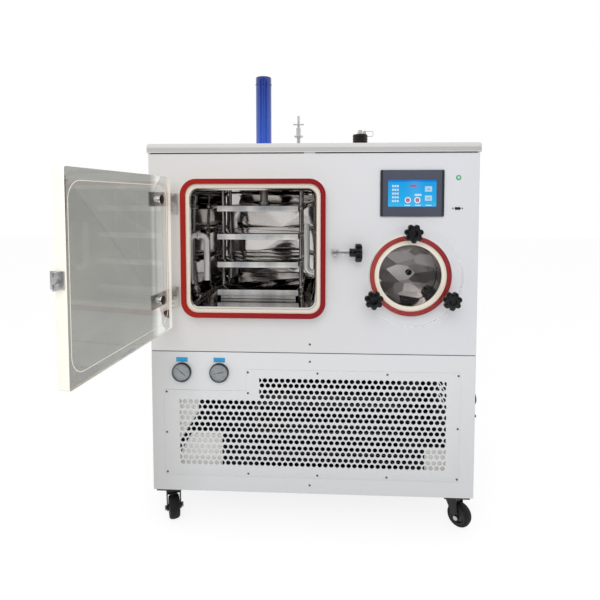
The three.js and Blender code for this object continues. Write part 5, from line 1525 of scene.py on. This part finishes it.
# ---------------------------------------------------------------- vapour duct
# Stainless pipe behind the chamber that leads the vapour across to the trap, sleeved over
# both nozzles and brushed along its length.

duct_y = front_y + 0.615
duct_z = port[2]
duct_path = bent([(port[0], chamber_back + wall + 0.012, duct_z), (port[0], duct_y, duct_z),
                  (trap_x, duct_y, trap_z), (trap_x, pot_back + 0.012, trap_z)], 0.070, 14)
placed("vapour_pipe", tube(duct_path, 0.0495, 0.0465, 48), satin_steel, replaces=("vapour_duct",))

# ---------------------------------------------------------------- lid
# Folded sheet lid in white baked paint, its upper edges rounded, standing a little outside
# the panels all round. Cut out for the ram and two fittings; dark strips below it are painted
# shade for the gap under it.

lid = Box("top_cover")
lid_edge = 0.008
lid_outline = rounded_rectangle(lid.size.x, lid.size.y, 0.014, 6)
lid_profile = [(0.0008, lid.low.z), (0.0, lid.low.z + 0.0008)]
lid_profile += [(lid_edge * (1 - cos(angle)), lid.high.z - lid_edge * (1 - sin(angle)))
                for angle in (pi / 2 * i / 8 for i in range(9))]
lid_middle = (0, lid.middle.y, 0)
pocket = stack(lid_outline, [(0.003, lid.low.z - 0.02), (0.003, lid.high.z - lid_edge),
                             (0.013, lid.high.z - lid_edge), (0.013, lid.high.z - 0.002)], "z", lid_middle)
vent = Box("vent_valve")
port_x = 0.177
ram_opening, vent_opening, port_opening = 0.0315, 0.009, 0.018
through_lid = (lid.low.z, lid.high.z + 0.01, "z")
lid_skin = carve(
    carve(stack(lid_outline, lid_profile, "z", lid_middle), pocket),
    through(circle(ram_opening), *through_lid, (press_x, press_y, 0)),
    through(circle(vent_opening, 32), *through_lid, (vent.middle.x, vent.middle.y, 0)),
    through(circle(port_opening, 40), *through_lid, (port_x, vent.middle.y, 0)))
lid_paint = painted("lid_paint", "D3D2D0", 0.36)
# Painted shade and highlight: the skirt below the rounded edge is darker, and a thin band at the hem is
# lighter.
lid_height = lid_paint.along("Z")
painted_skirt_shade = (lid.high.z - 0.0125 - lid_height) / 0.003
hem_painted_highlight = (lid.low.z + 0.0028 - lid_height) / 0.0006
lid_lit_and_shaded = lid_paint.mix(painted_skirt_shade + 0.3 * (lid_paint.noise(3, 3) - 0.5), colour("DAD9D7"), colour("BEBDBD"))
lid_paint.wear(Base_Color=lid_paint.mix(hem_painted_highlight, lid_lit_and_shaded, colour("E2E1DF")))
placed("lid", lid_skin, lid_paint, replaces=("top_cover",), smooth=35)
# Dark strips under the lid's front edge: painted shade standing for the shadow gap between lid and panel.
lid_gap_shade = painted("lid_gap_shade", "3A3A3C", 0.6)
placed("lid_shadow_strips", together(*(
    block((start, front_y - 0.0006, lid.low.z - 0.0036), (end, front_y + 0.0005, lid.low.z - 0.0002), 0.0002)
    for start, end in ((-0.532, -0.024), (0.013, 0.532)))), lid_gap_shade)

# ---------------------------------------------------------------- press ram
# Hydraulic ram in glossy blue paint that stands on the chamber's roof and comes out through
# the lid, with a rolled ring below its closed top.

ram = Box("ram_cylinder")
ram_radius = 0.0295
bore_top = press.high.z + 0.004
ram_blue = painted("ram_blue", "2A55B8", 0.2, 0.00002, 0.1, Coat_Weight=0.4)
# Painted shade: the blue darkens towards the top of the ram.
ram_blue.blend((ram_blue.along("Z") - lid.high.z) / (ram.high.z - lid.high.z), "3460D0", "0E2C82")
ram_profile = [(0.0, bore_top), (0.0154, bore_top)]
ram_profile += [(radius, ram.low.z + rise) for radius, rise in (
    (0.0154, 0.0), (0.054, 0.0), (0.055, 0.001), (0.055, 0.0107), (0.054, 0.0117), (ram_radius, 0.0117))]
ram_profile += [(ram_radius + proud, ram.high.z - depth) for proud, depth in (
    (0.0, 0.031), (0.0013, 0.030), (0.0015, 0.0275), (0.0013, 0.025), (0.0, 0.024), (0.0, 0.003),
    (-0.0009, 0.0009), (-0.003, 0.0), (-ram_radius, 0.0))]
placed("ram_tube", lathe(ram_profile, "z", (press_x, press_y, 0)), ram_blue,
       replaces=("ram_cylinder",), smooth=35)

# ---------------------------------------------------------------- vent valve and vacuum port
# Needle valve of stainless steel with a cross handle, and a black ribbed vacuum connector
# with a steel clamp and its wire bail. Both stand on the lid, over holes to what they serve.

fitted("vent_valve", bright_steel, edge=0.0006)
fitted("vent_valve_handle", bright_steel, "vent_handle", 0.0006)
port_plastic = painted("port_plastic", "221C1A", 0.42, Specular_IOR_Level=0.4)
port_at = Vector((port_x, vent.middle.y, lid.high.z))
port_profile = [(0.0, -0.040), (0.0172, -0.040), (0.0172, 0.0004), (0.0298, 0.0004), (0.0305, 0.0011),
                (0.0305, 0.0052), (0.0298, 0.006), (0.0235, 0.008), (0.0235, 0.020)]
for rib in range(4):
    level = 0.021 + 0.0092 * rib
    port_profile += [(0.0262, level), (0.0277, level + 0.001), (0.0277, level + 0.0062),
                     (0.0262, level + 0.0072)]
port_profile += [(0.0268, 0.0575), (0.0262, 0.0586), (0.0, 0.0586)]
placed("port_body", lathe(port_profile, "z", port_at, steps=64), port_plastic,
       replaces=("vacuum_port",), smooth=35)
clamp = [
    disc(0.0118, 0.0588, 0.0690, "z", port_at, 0.0008, 32),
    disc(0.0085, 0.0691, 0.0758, "z", port_at, 0.001, 6),
    block(port_at + Vector((0.0122, -0.004, 0.0588)), port_at + Vector((0.0215, 0.004, 0.0738)), 0.0008),
    moved(tube(bent([(0.0205, 0, 0.0705), (0.0480, 0, 0.0718), (0.0480, 0, 0.0525), (0.0275, 0, 0.0525)],
                    0.006, 6), 0.0013, steps=10), Matrix.Translation(port_at))]
placed("port_clamp", together(*clamp), bright_steel)
